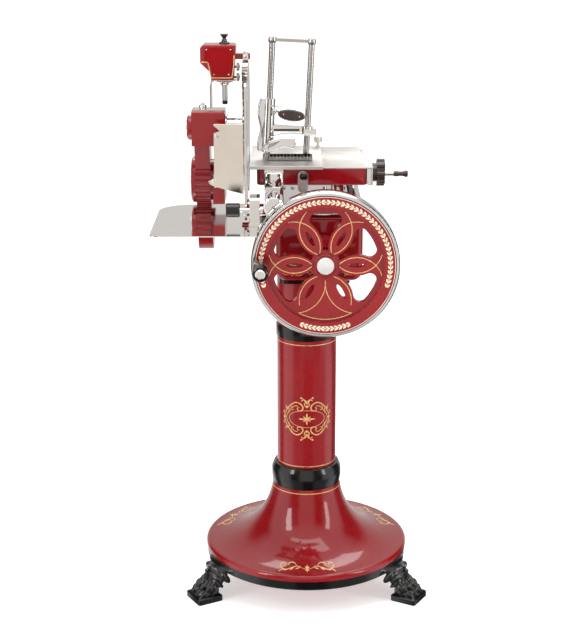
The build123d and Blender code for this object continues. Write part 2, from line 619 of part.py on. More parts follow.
with BuildPart() as feed_screw:
    screw_points = [(0, -117), (SCREW_RADIUS, -117)]
    thread_pitch = 6
    for turn in range(34):
        start = -104 + turn * thread_pitch
        screw_points += [(SCREW_RADIUS, start), (SCREW_RADIUS - 1.2, start + 1.5),
                         (SCREW_RADIUS - 1.2, start + 3), (SCREW_RADIUS, start + 4.5)]
    screw_points += [(SCREW_RADIUS, 191), (0, 191)]
    turned(along_x(0, SCREW_Y, SCREW_Z), screw_points)
keep(feed_screw, "feed_screw")

with BuildPart() as handwheel:
    round_bar(along_x(160.4, SCREW_Y, SCREW_Z), 23, 11)
    with BuildSketch(along_x(171.4, SCREW_Y, SCREW_Z)):
        Circle(29)
        with PolarLocations(27, 8):
            Circle(7)
    extrude(amount=20)
    fillet(handwheel.faces().sort_by(Axis.X)[-1].edges(), 3)
    round_bar(along_x(160, SCREW_Y, SCREW_Z), SCREW_RADIUS + 0.06, 31.1, Mode.SUBTRACT)
    turned(along_x(191.4, SCREW_Y - 20, SCREW_Z), [(0, -4), (5.2, -4), (5.2, 20), (4, 20), (4, 56), (0, 56)])
keep(handwheel, "handwheel")

with BuildPart() as feed_grip:
    turned(along_x(212, SCREW_Y - 20, SCREW_Z),
           [(4.05, 0), (6, 0), (7, 5), (5.6, 18), (6, 24), (8.4, 30), (7.5, 35), (4.05, 36)])
keep(feed_grip, "feed_grip")

# ---------------------------------------------------------------- meat plate and clamp tower
lean_angle = radians(TOWER_LEAN)
tower = Plane(origin=(-4, TOWER_Y, PLATE_TOP), x_dir=(cos(lean_angle), 0, -sin(lean_angle)),
              z_dir=(sin(lean_angle), 0, cos(lean_angle)))


def tower_plane(x, y, z):
    """Plane in the leaning frame of the clamp tower, facing up its rods."""
    point = tower.origin + tower.x_dir * x + tower.y_dir * y + tower.z_dir * z
    return Plane(origin=point, x_dir=tower.x_dir, z_dir=tower.z_dir)


def tower_front(x, y, z):
    """Plane in the leaning frame that faces the front."""
    point = tower.origin + tower.x_dir * x + tower.y_dir * y + tower.z_dir * z
    return Plane(origin=point, x_dir=tower.x_dir, z_dir=(0, -1, 0))


with BuildPart() as meat_plate:
    block((TABLE_LEFT, 37), (-79, 224), (TABLE_TOP + 0.4, PLATE_TOP))
    block((TABLE_LEFT, 37), (-85, -79), (TABLE_TOP - 4, PLATE_TOP))
    block(NUT, (-33, -9), (SCREW_Z - 12, TABLE_TOP + 1))
    round_bar(along_x(NUT[0] - 1, SCREW_Y, SCREW_Z), SCREW_RADIUS + RUN, 30, Mode.SUBTRACT)
keep(meat_plate, "meat_plate")

with BuildPart() as tower_frame:
    for x in (0, -ROD_SPACING):
        round_bar(tower_plane(x, 0, -12), ROD_RADIUS, 300)
        turned(tower_plane(x, 0, 0), [(0, 284), (9.5, 284), (10.5, 290), (9, 297), (0, 299)])
        round_bar(tower_plane(x, 0, -12), 10.5, 20)
    with BuildSketch(tower_front(-ROD_SPACING / 2, 6, 291)):
        Rectangle(ROD_SPACING, 7)
    extrude(amount=12)
    split(bisect_by=Plane.XY.offset(PLATE_TOP), keep=Keep.TOP)
keep(tower_frame, "tower_frame")

LEVER_X, LEVER_Z = -76, 1247
with BuildPart() as spiked_bar:
    block((-98, 12), (0, 9), (PLATE_TOP, PLATE_TOP + 15))
    for spike in range(13):
        outline(towards_front(-94 + spike * 8.5, 0, PLATE_TOP), [(-3, 2), (3, 2), (0, 14)], 7)
keep(spiked_bar, "spiked_bar")

with BuildPart() as clamp_casting:
    round_bar(tower_plane(-ROD_SPACING, 0, 14), 14, 132)
    outline(tower_front(-ROD_SPACING, 4, 0), [(-28, 126), (-22, 146), (-6, 142), (-8, 92), (-12, 60),
                                              (-10, 20), (-24, 16), (-26, 40), (-20, 70), (-28, 104)], 8)
    outline(tower_front(-ROD_SPACING, 10, 0), [(0, 66), (0, 82), (84, 80), (84, 68)], 20)
    round_bar(tower_plane(0, 0, 62), 13, 20)
    block((0 - 8, 22), (TOWER_Y - 22, TOWER_Y - 12), (1184, 1200))
    for x in (0, -ROD_SPACING):
        round_bar(tower_plane(x, 0, -20), ROD_RADIUS + RUN, 300, Mode.SUBTRACT)
    round_bar(towards_front(LEVER_X, TOWER_Y + 22, LEVER_Z), 6.05, 46, Mode.SUBTRACT)
keep(clamp_casting, "clamp_casting")

with BuildPart() as press_lever:
    round_bar(towards_front(LEVER_X, TOWER_Y + 20, LEVER_Z), 6, 43)
    round_bar(towards_front(LEVER_X, TOWER_Y - 15, LEVER_Z), 10, 13)
    outline(towards_front(0, TOWER_Y - 23, 0), [(-84, 1254), (-60, 1253), (-30, 1249), (-8, 1236), (-8, 1231),
                                                (-30, 1240), (-60, 1242), (-84, 1240)], 5)
keep(press_lever, "press_lever")

with BuildPart() as press_grip:
    with BuildSketch(towards_front(-40, TOWER_Y - 28.2, 1237)):
        Ellipse(33, 14, rotation=-8)
    extrude(amount=14)
    fillet(press_grip.edges(), 5)
keep(press_grip, "press_grip")

with BuildPart() as wedge_lever:
    outline(towards_front(0, -3.5, 0), [(-112, 1152), (-100, 1170), (-66, 1182), (-34, 1180), (-28, 1168),
                                        (-36, 1152), (-60, 1158), (-92, 1146)], 12)
    round_bar(towards_front(-103, 5, 1158), 5, 25)
keep(wedge_lever, "wedge_lever")

with BuildPart() as table_knob:
    turned(Plane(origin=(30, 200, PLATE_TOP)), [(0, 0), (6, 0), (6, 3), (3, 5), (3, 10), (9, 14), (11, 21),
                                                (8, 28), (0, 31)])
keep(table_knob, "table_knob")

# ---------------------------------------------------------------- fasteners
with BuildPart() as fasteners:
    for angle in (45, 135, 225, 315):
        turned(along_x(-299, 22 * cos(radians(angle)), BLADE_Z + 22 * sin(radians(angle))),
               [(0, 0), (3, 0), (3, -2), (0, -2.6)])
        turned(along_x(-293, DRUM_Y + 44 * cos(radians(angle)), DRUM_Z + 44 * sin(radians(angle))),
               [(0, 0), (3.5, 0), (3.5, -2.2), (0, -3)])
    turned(Plane(origin=(-259, 0, 1251.5)), [(0, 0), (7, 0), (7, 9), (4, 10), (4, 14), (0, 15)])
    for x in (-60, -36, 48, 97):
        for y in (-120, 180):
            round_bar(Plane(origin=(x, y, BASE_TOP + 3)), 5, 4)
keep(fasteners, "fasteners")
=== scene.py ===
"""Hand-wheel meat slicer on its pedestal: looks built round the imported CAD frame.  Metres, +Z up."""
import json
import math

import bmesh
import bpy
from mathutils import Matrix, Vector
from mathutils.bvhtree import BVHTree


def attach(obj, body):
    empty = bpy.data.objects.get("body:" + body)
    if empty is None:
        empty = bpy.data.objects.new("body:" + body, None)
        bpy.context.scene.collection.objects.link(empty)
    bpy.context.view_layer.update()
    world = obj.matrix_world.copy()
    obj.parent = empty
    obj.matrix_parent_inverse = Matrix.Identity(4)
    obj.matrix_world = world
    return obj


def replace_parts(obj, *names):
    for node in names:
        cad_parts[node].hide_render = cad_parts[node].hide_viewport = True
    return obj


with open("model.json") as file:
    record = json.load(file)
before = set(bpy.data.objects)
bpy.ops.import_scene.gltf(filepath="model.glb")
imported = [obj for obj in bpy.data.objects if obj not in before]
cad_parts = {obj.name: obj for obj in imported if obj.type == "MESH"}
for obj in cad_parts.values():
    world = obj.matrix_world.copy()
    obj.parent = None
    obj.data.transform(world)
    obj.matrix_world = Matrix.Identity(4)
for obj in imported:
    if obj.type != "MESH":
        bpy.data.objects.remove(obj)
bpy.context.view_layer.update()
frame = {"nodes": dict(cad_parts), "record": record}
nodes = frame["nodes"]
MM = 0.001
BLADE_HEIGHT = 1205
PLUNGER_X = -204


# ---- shader nodes
def fill(tree, node, inputs):
    """Sets a node's inputs, each to a plain value or to another node's socket."""
    for key, value in inputs.items():
        if hasattr(value, "is_linked"):
            tree.links.new(value, node.inputs[key])
        else:
            node.inputs[key].default_value = value
    return node


def new_node(tree, kind, inputs, **settings):
    """Adds a shader node with its settings and inputs."""
    node = tree.nodes.new("ShaderNode" + kind)
    for name, value in settings.items():
        setattr(node, name, value)
    return fill(tree, node, inputs)


def new_material(name, inputs):
    """Principled material with its plain values set on the shader itself."""
    material = bpy.data.materials.new(name)
    material.use_nodes = True
    tree = material.node_tree
    return material, tree, fill(tree, tree.nodes["Principled BSDF"], inputs)


# ---- camera, floor and light
def make_camera():
    """Stands in front of the object and above its middle, tilted 16 degrees down."""
    data = bpy.data.cameras.new("camera")
    camera = bpy.data.objects.new("camera", data)
    bpy.context.scene.collection.objects.link(camera)
    camera.location = (-0.051, -3.706, 1.768)
    camera.rotation_euler = (math.radians(90 - 16), 0, 0)
    data.sensor_fit = "VERTICAL"
    data.sensor_height = 36
    data.lens = 84.1
    data.clip_end = 100
    bpy.context.scene.camera = camera


def make_floor():
    mesh = bpy.data.meshes.new("floor")
    reach = 30
    mesh.from_pydata([(-reach, -reach, 0), (reach, -reach, 0), (reach, reach, 0), (-reach, reach, 0)], [],
                     [(0, 1, 2, 3)])
    floor = bpy.data.objects.new("floor", mesh)
    bpy.context.scene.collection.objects.link(floor)
    material, _, _ = new_material("floor_paint", {
        "Base Color": (0.93, 0.93, 0.93, 1), "Roughness": 0.7,
        "Emission Color": (1, 1, 1, 1), "Emission Strength": 0.5})
    mesh.materials.append(material)
    floor.visible_glossy = False


def make_area(name, place, aim, size, power):
    data = bpy.data.lights.new(name, "AREA")
    data.shape = "RECTANGLE"
    data.size, data.size_y = size
    data.energy = power
    light = bpy.data.objects.new(name, data)
    light.location = place
    light.rotation_euler = (Vector(aim) - Vector(place)).to_track_quat("-Z", "Y").to_euler()
    bpy.context.scene.collection.objects.link(light)


def grey_ramp(tree, turn, stops):
    """Ramp of greys from (position, brightness, warmth) stops."""
    node = new_node(tree, "ValToRGB", {"Fac": turn})
    elements = node.color_ramp.elements
    for position, value, warmth in stops:
        if position in (0.0, 1.0):
            element = elements[0 if position == 0.0 else len(elements) - 1]
        else:
            element = elements.new(position)
        element.color = (value, value * (1 - warmth * 0.5), value * (1 - warmth), 1)
    return node.outputs["Color"]


def make_world():
    """White studio.  Grey and dark flags stand round it by bearing, so polished metal has edges to mirror."""
    world = bpy.data.worlds.new("studio")
    bpy.context.scene.world = world
    world.use_nodes = True
    tree = world.node_tree
    tree.nodes.clear()

    def calculate(kind, first, second):
        return new_node(tree, "Math", {0: first, 1: second}, operation=kind).outputs[0]

    def blend(share, first, second):
        inputs = {"Factor": share, "A": first, "B": second}
        return new_node(tree, "Mix", inputs, data_type="RGBA").outputs["Result"]

    def rise(start, end):
        reach = {"Value": split.outputs["Z"], "From Min": start, "From Max": end}
        return new_node(tree, "MapRange", reach).outputs["Result"]

    place = new_node(tree, "TexCoord", {})
    split = new_node(tree, "SeparateXYZ", {0: place.outputs["Generated"]})
    # bearing 0.5 faces the camera, 0.25 is on its left and 0 or 1 behind the object
    bearing = calculate("ARCTAN2", split.outputs["X"], calculate("MULTIPLY", split.outputs["Y"], -1))
    turn = calculate("ADD", calculate("DIVIDE", bearing, math.tau), 0.5)
    left = [(0.0, 0.62, 0.06), (0.09, 0.62, 0.06), (0.13, 0.05, 0.3), (0.20, 0.05, 0.3), (0.24, 1, 0),
            (0.33, 1, 0), (0.37, 0.07, 0.4), (0.42, 0.10, 0.4), (0.45, 0.80, 0.12)]
    right = [(1 - position, value, warmth) for position, value, warmth in reversed(left)]
    upper = grey_ramp(tree, turn, left + right)
    lower = grey_ramp(tree, turn, (
        (0.0, 0.85, 0), (0.12, 0.9, 0), (0.16, 0.08, 0.3), (0.20, 0.08, 0.3), (0.24, 1, 0),
        (0.33, 0.9, 0), (0.37, 0.30, 0), (0.46, 0.26, 0), (0.475, 0.02, 0), (0.56, 0.02, 0),
        (0.58, 0.26, 0), (0.70, 0.30, 0), (0.73, 0.9, 0), (0.80, 0.8, 0), (0.84, 0.05, 0),
        (0.92, 0.05, 0), (0.96, 0.85, 0), (1.0, 0.85, 0)))
    sides = blend(rise(-0.305, -0.275), lower, upper)
    whole = blend(rise(0.62, 0.82), sides, (1, 1, 1, 1))
    studio = new_node(tree, "Background", {"Strength": 1.0, "Color": whole})
    new_node(tree, "OutputWorld", {"Surface": studio.outputs[0]})


make_camera()
make_floor()
make_world()
bpy.context.scene.view_settings.view_transform = "Standard"
bpy.context.scene.view_settings.look = "None"
make_area("key_left", (-2.6, -2.2, 2.4), (0, 0, 0.9), (0.8, 2.6), 42)
make_area("fill_right", (2.8, -1.6, 1.8), (0, 0, 0.9), (0.6, 2.6), 24)
make_area("top", (0, -0.4, 3.4), (0, 0, 0.8), (2.4, 1.6), 30)
make_area("back", (0.4, 2.4, 3.6), (0, 0, 1.0), (2.4, 1.2), 30)


# ---- materials
def principled(name, base, metallic, roughness, coat=0.0):
    return new_material(name, {"Base Color": (*base, 1), "Metallic": metallic, "Roughness": roughness,
                               "Coat Weight": coat, "Coat Roughness": 0.07})


def noise(tree, scale, detail=4.0, stretch=None):
    """Noise in the object's own space, in cycles per metre."""
    source = new_node(tree, "TexCoord", {}).outputs["Object"]
    if stretch:
        source = new_node(tree, "Mapping", {"Vector": source, "Scale": stretch}).outputs["Vector"]
    return new_node(tree, "TexNoise", {"Vector": source, "Scale": scale, "Detail": detail}).outputs["Fac"]


def spread(tree, value, low, high, start=0.3, end=0.7):
    """Maps a 0 to 1 pattern to a range of values."""
    reach = {"Value": value, "From Min": start, "From Max": end, "To Min": low, "To Max": high}
    return new_node(tree, "MapRange", reach).outputs["Result"]


def tint(tree, shader, value, first, second):
    """Base colour that drifts between two close tones."""
    mix = new_node(tree, "Mix", {"Factor": value, "A": (*first, 1), "B": (*second, 1)}, data_type="RGBA")
    fill(tree, shader, {"Base Color": mix.outputs["Result"]})


def bump(tree, shader, value, strength, depth):
    node = new_node(tree, "Bump", {"Height": value, "Strength": strength, "Distance": depth})
    fill(tree, shader, {"Normal": node.outputs["Normal"]})


def enamel(name, dark, light):
    """Sprayed and lacquered enamel: slow tone drift, fine orange peel, faint polishing haze."""
    material, tree, shader = principled(name, dark, 0.0, 0.22, coat=1.0)
    tint(tree, shader, spread(tree, noise(tree, 6, 3), 0, 1), dark, light)
    fill(tree, shader, {"Specular IOR Level": 0.15,
                        "Roughness": spread(tree, noise(tree, 45, 6), 0.22, 0.40)})
    bump(tree, shader, noise(tree, 420, 2), 0.03, 0.00006)
    return material


def polished(name, dark, light, rough, brushing=None, scratch=0.04, anisotropy=0.0):
    """Polished or brushed metal with smudges and hairline scratches."""
    material, tree, shader = principled(name, dark, 1.0, rough[0])
    tint(tree, shader, spread(tree, noise(tree, 9, 5), 0, 1), dark, light)
    fill(tree, shader, {"Anisotropic": anisotropy,
                        "Roughness": spread(tree, noise(tree, 38, 8), *rough)})
    bump(tree, shader, noise(tree, 260, 3, brushing), scratch, 0.00008)
    return material


def grinding(name):
    """Blade steel ground in fine rings round the blade axis."""
    material, tree, shader = principled(name, (0.62, 0.62, 0.63), 1.0, 0.16)
    place = new_node(tree, "TexCoord", {}).outputs["Object"]
    flat = new_node(tree, "Mapping", {"Vector": place, "Location": (0, 0, -BLADE_HEIGHT * MM),
                                      "Scale": (0, 1, 1)})
    rings = new_node(tree, "TexWave", {"Vector": flat.outputs["Vector"], "Scale": 160, "Distortion": 0.6,
                                       "Detail": 3}, wave_type="RINGS", rings_direction="SPHERICAL")
    fill(tree, shader, {"Roughness": spread(tree, rings.outputs["Fac"], 0.10, 0.24, 0, 1)})
    bump(tree, shader, rings.outputs["Fac"], 0.08, 0.00005)
    return material


def bakelite(name):
    """Mottled dark brown moulding with a soft polish."""
    material, tree, shader = principled(name, (0.03, 0.014, 0.01), 0.0, 0.25, coat=0.5)
    tint(tree, shader, spread(tree, noise(tree, 60, 6, (1, 1, 0.4)), 0, 1),
         (0.018, 0.010, 0.008), (0.052, 0.025, 0.018))
    fill(tree, shader, {"Roughness": spread(tree, noise(tree, 120, 5), 0.2, 0.38)})
    bump(tree, shader, noise(tree, 500, 3), 0.08, 0.0001)
    return material


def stone(name):
    """Coarse, matt grinding stone."""
    material, tree, shader = principled(name, (0.3, 0.27, 0.23), 0.0, 0.9)
    tint(tree, shader, spread(tree, noise(tree, 1500, 3), 0, 1), (0.2, 0.18, 0.16), (0.45, 0.4, 0.35))
    bump(tree, shader, noise(tree, 2200, 2), 0.5, 0.0003)
    return material


def gilding(name, dark=(0.78, 0.42, 0.13), light=(0.95, 0.66, 0.33), metallic=0.35):
    """Gold paint: warm, slightly metallic, uneven along the stroke."""
    material, tree, shader = principled(name, light, metallic, 0.32, coat=0.6)
    tint(tree, shader, spread(tree, noise(tree, 90, 4), 0, 1), dark, light)
    fill(tree, shader, {"Roughness": spread(tree, noise(tree, 300, 4), 0.25, 0.45)})
    return material


def painted_reflection_metal(name):
    """Polished rim with painted reflections: level patches of grey, brown and white in its base colour stand
    in for the things of a busy room it would mirror.
    """
    material, tree, shader = principled(name, (0.8, 0.78, 0.76), 1.0, 0.10)
    # painted reflection: a banded grey, brown and white ramp that runs along the height
    ramp = new_node(tree, "ValToRGB", {"Fac": noise(tree, 42.0, 2.0, (0.05, 0.05, 1.0))})
    ramp.color_ramp.interpolation = "CONSTANT"
    stops = ((0.0, (0.16, 0.14, 0.13)), (0.40, (0.82, 0.80, 0.78)), (0.47, (0.26, 0.13, 0.08)),
             (0.52, (0.62, 0.60, 0.58)), (0.57, (0.30, 0.28, 0.27)), (0.62, (0.85, 0.83, 0.81)))
    while len(ramp.color_ramp.elements) < len(stops):
        ramp.color_ramp.elements.new(0.5)
    for element, (place, color) in zip(ramp.color_ramp.elements, stops):
        element.position = place
        element.color = (*color, 1)
    fill(tree, shader, {"Base Color": ramp.outputs["Color"]})
    return material


MATERIALS = {
    "red_enamel": enamel("red_enamel", (0.245, 0.0020, 0.0055), (0.295, 0.0034, 0.008)),
    "black_enamel": enamel("black_enamel", (0.0025, 0.0022, 0.0022), (0.006, 0.0055, 0.0055)),
    "chrome": polished("chrome", (0.80, 0.79, 0.78), (0.87, 0.86, 0.85), (0.03, 0.10)),
    "polished_steel": polished("polished_steel", (0.74, 0.71, 0.67), (0.80, 0.77, 0.73), (0.07, 0.17),
                               (1, 24, 1), 0.06, 0.3),
    "machined_steel": polished("machined_steel", (0.34, 0.33, 0.32), (0.48, 0.46, 0.44), (0.22, 0.42),
                               (24, 1, 24), 0.2),
    "blade_steel": grinding("blade_steel"),
    "dark_grip": bakelite("dark_grip"),
    "stone": stone("stone"),
}
SATIN = polished("satin_steel", (0.75, 0.725, 0.69), (0.83, 0.805, 0.77), (0.34, 0.46), (1, 40, 1), 0.12, 0.5)
ROD_STEEL = polished("rod_steel", (0.52, 0.505, 0.49), (0.60, 0.585, 0.57), (0.20, 0.26), None, 0.01)
CAP_STEEL = polished("cap_steel", (0.86, 0.85, 0.84), (0.92, 0.91, 0.90), (0.34, 0.42))
TRAY_STEEL = polished("tray_steel", (0.93, 0.92, 0.90), (0.97, 0.96, 0.94), (0.05, 0.12),
                      (1, 24, 1), 0.05, 0.3)
WARM_PLATE = polished("warm_plate", (0.86, 0.80, 0.73), (0.92, 0.86, 0.79), (0.12, 0.22),
                      (1, 24, 1), 0.05, 0.3)
# steel whose base colour carries painted reflections of a room
PAINTED_REFLECTION_STEEL = painted_reflection_metal("guard_painted_reflection")
GOLD = gilding("gold_paint")
BADGE_GOLD = gilding("badge_gold")
CREAM = gilding("cream_gold", (0.86, 0.70, 0.47), (0.95, 0.84, 0.66), 0.1)
IVORY = enamel("ivory_line", (0.80, 0.55, 0.50), (0.88, 0.66, 0.60))
DEEP_RED = enamel("deep_red", (0.27, 0.0018, 0.004), (0.31, 0.0028, 0.006))
BLACK_GLOSS = enamel("black_gloss", (0.0022, 0.0018, 0.0017), (0.005, 0.004, 0.0038))
for changed, values in ((CAP_STEEL, {"Metallic": 0.45}),
                        (DEEP_RED, {"Specular IOR Level": 0.12, "Coat Weight": 0.0})):
    fill(changed.node_tree, changed.node_tree.nodes["Principled BSDF"], values)


# ---- CAD nodes: slot finish, eased edges, smooth faces
BEVEL_MM = {
    "pedestal_base": 1.5, "head_plate": 1.5, "machine_base": 2.5, "gear_housing": 1.5,
    "sharpener_casing": 1.5, "flywheel": 0.5, "carriage_body": 1.2, "gauge_plate": 0.6,
    "press_grip": 1.5, "clamp_casting": 1.6, "wedge_lever": 1.2, "press_lever": 1.0,
    "sharpener_arm": 2.0, "carriage_bearings": 1.2, "end_bracket": 1.5, "gauge_bracket": 1.2,
    "blade_guard": 1.0, "handwheel": 1.0, "blade": 0.15, "drive_chain": 0.1, "feed_screw": 0.2,
    "bevel_gear": 0.3, "bevel_pinion": 0.3, "spiked_bar": 0.5,
}


def round_edges(obj, width, angle):
    """Rounds edges sharper than an angle in degrees, by a width in millimetres."""
    bevel = obj.modifiers.new("bevel", "BEVEL")
    bevel.width = width * MM
    bevel.segments = 2
    bevel.limit_method = "ANGLE"
    bevel.angle_limit = math.radians(angle)
    bevel.harden_normals = True


def finish_node(name, obj, slot_of):
    """Welds the imported facets, rounds the sharp edges a little and paints the node from its slot."""
    mesh = obj.data
    if "custom_normal" in mesh.attributes:
        mesh.attributes.remove(mesh.attributes["custom_normal"])
    for polygon in mesh.polygons:
        polygon.use_smooth = True
    weld = obj.modifiers.new("weld", "WELD")
    weld.merge_threshold = 0.00002
    round_edges(obj, BEVEL_MM.get(name, 0.7), 34)
    mesh.materials.clear()
    mesh.materials.append(MATERIALS[slot_of[name]])


slot_of = {part["node"]: part["material_slot"] for part in frame["record"]["subparts"]}
for node_name, node in nodes.items():
    finish_node(node_name, node, slot_of)
for node_name in ("carriage_table", "meat_plate"):
    nodes[node_name].data.materials[0] = SATIN
for node_name in ("crank_handle", "lock_knob", "thickness_knob"):
    nodes[node_name].data.materials[0] = BLACK_GLOSS
nodes["tower_frame"].data.materials[0] = ROD_STEEL
nodes["deflector_plate"].data.materials[0] = WARM_PLATE
nodes["receiving_tray"].data.materials[0] = TRAY_STEEL
nodes["table_knob"].data.materials[0] = SATIN


def split_finish(name, material, chosen):
    """Gives the faces of one CAD node that lie in a region a second finish."""
    mesh = nodes[name].data
    mesh.materials.append(material)
    for polygon in mesh.polygons:
        if chosen(polygon.center):
            polygon.material_index = 1


split_finish("sharpener_plunger", MATERIALS["chrome"], lambda place: 1.279 < place.z < 1.40)
split_finish("flywheel_shaft", CAP_STEEL, lambda place: place.y < -0.2675)
# the fronts of the blade guard and the gauge plate take the steel with painted reflections
split_finish("blade_guard", PAINTED_REFLECTION_STEEL, lambda place: place.y < -0.02)
split_finish("gauge_plate", PAINTED_REFLECTION_STEEL, lambda place: place.x > -0.1472)
split_finish("handwheel", MATERIALS["chrome"], lambda place: place.x > 0.1925)
split_finish("carriage_bearings", SATIN, lambda place: place.y < -0.0755 and -0.026 < place.x < 0.002)


# ---- helpers for added pieces
def circle(count):
    """Directions evenly round a full turn, as (cosine, sine)."""
    angles = [math.tau * step / count for step in range(count)]
    return [(math.cos(angle), math.sin(angle)) for angle in angles]


def add_mesh(name, body, points, faces, material):
    """A new visible piece on a CAD body."""
    mesh = bpy.data.meshes.new(name)
    mesh.from_pydata([tuple(point) for point in points], [], faces)
    mesh.validate()
    mesh.materials.append(material)
    for polygon in mesh.polygons:
        polygon.use_smooth = True
    obj = bpy.data.objects.new(name, mesh)
    bpy.context.scene.collection.objects.link(obj)
    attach(obj, body)
    return obj


class Builder:
    """Collects points and faces of one piece made of many small shapes."""

    def __init__(self):
        self.points = []
        self.faces = []

    def add(self, points, faces):
        start = len(self.points)
        self.points += points
        self.faces += [[start + index for index in face] for face in faces]

    def grid(self, rows, close_rows=False, close_columns=False):
        """Joins equal-length rows of points with quads."""
        count, width = len(rows), len(rows[0])
        faces = []
        for i in range(count if close_rows else count - 1):
            for j in range(width if close_columns else width - 1):
                ahead, side = (i + 1) % count, (j + 1) % width
                faces.append([i * width + j, ahead * width + j, ahead * width + side, i * width + side])
        self.add([point for row in rows for point in row], faces)

    def skin(self, rows, ends=(0, -1), closed=True):
        """Joins rows of points, and closes the chosen end rows with a flat face."""
        self.grid(rows, close_columns=closed)
        for end in ends:
            self.add(rows[end], [list(range(len(rows[end])))])

    def lathe(self, origin, axis, profile, turns=40):
        """Turned shape from (radius, height) points along an axis, in millimetres."""
        axis = Vector(axis).normalized()
        side = axis.orthogonal().normalized()
        across = axis.cross(side)
        rows = []
        for cosine, sine in circle(turns):
            out = side * cosine + across * sine
            rows.append([(Vector(origin) + out * max(radius, 0.001) + axis * height) * MM
                         for radius, height in profile])
        self.grid(rows, close_rows=True)

    def cushion(self, outline, place, levels):
        """Raised cover: the outline shrinks evenly by each inset while it rises."""
        area = sum(a[0] * b[1] - b[0] * a[1] for a, b in zip(outline, outline[1:] + outline[:1]))
        turn = 1 if area > 0 else -1
        points = [Vector(point) for point in outline]
        inward = []
        for here, after in zip(points, points[1:] + points[:1]):
            along = (after - here).normalized()
            inward.append(Vector((-along.y, along.x)) * turn)
        mitres = [(inward[i - 1] + inward[i]) / (1 + inward[i - 1].dot(inward[i]))
                  for i in range(len(points))]
        rows = [[place(*(point + mitre * inset), rise) for point, mitre in zip(points, mitres)]
                for inset, rise in levels]
        self.skin(rows, (-1,))

    def box(self, low, high):
        """Block between two corners, in millimetres."""
        x, y, z = zip(low, high)
        points = [Vector((x[i], y[j], z[k])) * MM for i in (0, 1) for j in (0, 1) for k in (0, 1)]
        self.add(points, [[0, 1, 3, 2], [4, 6, 7, 5], [0, 4, 5, 1], [2, 3, 7, 6], [0, 2, 6, 4], [1, 5, 7, 3]])

    def make(self, name, body, slot, material=None, bevel=0.0, angle=34):
        """Makes the piece, in its slot's own finish unless another is given."""
        obj = add_mesh(name, body, self.points, self.faces, material or MATERIALS[slot])
        if bevel:
            round_edges(obj, bevel, angle)


def screw_head(builder, centre, axis, radius, height=2.0, slot_turn=0.5):
    """Cheese-head screw with a sawn slot, sitting on a surface, in millimetres."""
    axis = Vector(axis).normalized()
    side = axis.orthogonal().normalized()
    side = Matrix.Rotation(slot_turn, 3, axis) @ side
    across = axis.cross(side)
    gap = radius * 0.13
    centre = Vector(centre)
    for sign in (1, -1):
        edge = []
        start = math.asin(gap / radius)
        for step in range(17):
            angle = start + (math.pi - 2 * start) * step / 16
            edge.append(centre + side * radius * math.cos(angle) + across * sign * radius * math.sin(angle))
        inset = [centre + (point - centre) * 0.9 for point in edge]
        upper = [point + axis * height * 0.7 for point in edge]
        crown = [point + axis * height for point in inset]
        count = len(edge)
        faces = [[i, i + 1, count + i + 1, count + i] for i in range(count - 1)]
        faces += [[count + i, count + i + 1, 2 * count + i + 1, 2 * count + i] for i in range(count - 1)]
        faces += [[count - 1, 0, count, 2 * count - 1], [2 * count - 1, count, 2 * count, 3 * count - 1]]
        faces.append(list(range(2 * count, 3 * count)))
        builder.add([point * MM for point in edge + upper + crown], [face[::sign] for face in faces])
    builder.lathe(centre, axis, [(radius * 0.97, 0), (radius * 0.97, height * 0.35), (0, height * 0.35)], 24)


# ---- painted lines draped over the surfaces
def surface(*names):
    """Ray target made of the finished surfaces of some CAD nodes."""
    graph = bpy.context.evaluated_depsgraph_get()
    mesh = bmesh.new()
    for name in names:
        evaluated = nodes[name].evaluated_get(graph)
        mesh.from_mesh(evaluated.to_mesh())
        evaluated.to_mesh_clear()
    tree = BVHTree.FromBMesh(mesh)
    mesh.free()
    return tree


class Paint:
    """Raised strokes laid on a surface.  place(u, v) gives a start point and a direction to look along."""

    def __init__(self, target, place, lift=0.25):
        self.target = target
        self.place = place
        self.lift = lift * MM
        self.builder = Builder()

    def drop(self, u, v):
        start, direction = self.place(u, v)
        hit, normal, _, _ = self.target.ray_cast(start, direction, 2.0)
        if hit is None:
            return None
        if normal.dot(direction) > 0:
            normal = -normal
        return hit, normal

    def stroke(self, path, width, closed=False, height=0.0):
        """Line of (u, v) points in millimetres; width is one number or one per point."""
        count = len(path)
        widths = width if isinstance(width, (list, tuple)) else [width] * count
        rows = []
        for index, (u, v) in enumerate(path):
            before = path[index - 1] if index or closed else path[0]
            after = path[(index + 1) % count] if index < count - 1 or closed else path[-1]
            along = Vector((after[0] - before[0], after[1] - before[1]))
            if along.length < 1e-9:
                along = Vector((1, 0))
            along.normalize()
            row = []
            for side in (-0.5, 0.5):
                place = (u - along.y * widths[index] * side, v + along.x * widths[index] * side)
                row.append(self.drop(place[0] * MM, place[1] * MM))
            middle = self.drop(u * MM, v * MM)
            if None in (row[0], row[1], middle):
                self.flush(rows, height)
                rows = []
                continue
            row.insert(1, middle)
            rows.append(row)
        if closed and rows and len(rows) == count:
            rows.append(rows[0])
        self.flush(rows, height)

    def flush(self, rows, height):
        """Turns collected cross rows into a low ridge whose rim touches the surface."""
        if len(rows) > 1:
            made = []
            for left, middle, right in rows:
                crown = self.lift * 1.2 + height * MM
                made.append([left[0] - left[1] * 0.0002, left[0] + left[1] * self.lift,
                             middle[0] + middle[1] * crown,
                             right[0] + right[1] * self.lift, right[0] - right[1] * 0.0002])
            self.builder.grid(made)

    def dot(self, u, v, radius, height=0.0):
        """Round painted or raised dot."""
        rings = []
        for size, rise in ((1.0, 0.0), (0.86, 0.7), (0.5, 1.0), (0.05, 1.1)):
            ring = []
            for cosine, sine in circle(14):
                found = self.drop((u + radius * size * cosine) * MM, (v + radius * size * sine) * MM)
                if found is None:
                    return
                ring.append(found[0] + found[1] * (self.lift + height * MM) * rise)
            rings.append(ring)
        self.builder.grid(rings, close_columns=True)

    def make(self, name, body, material):
        self.builder.make(name, body, "red_enamel", material)


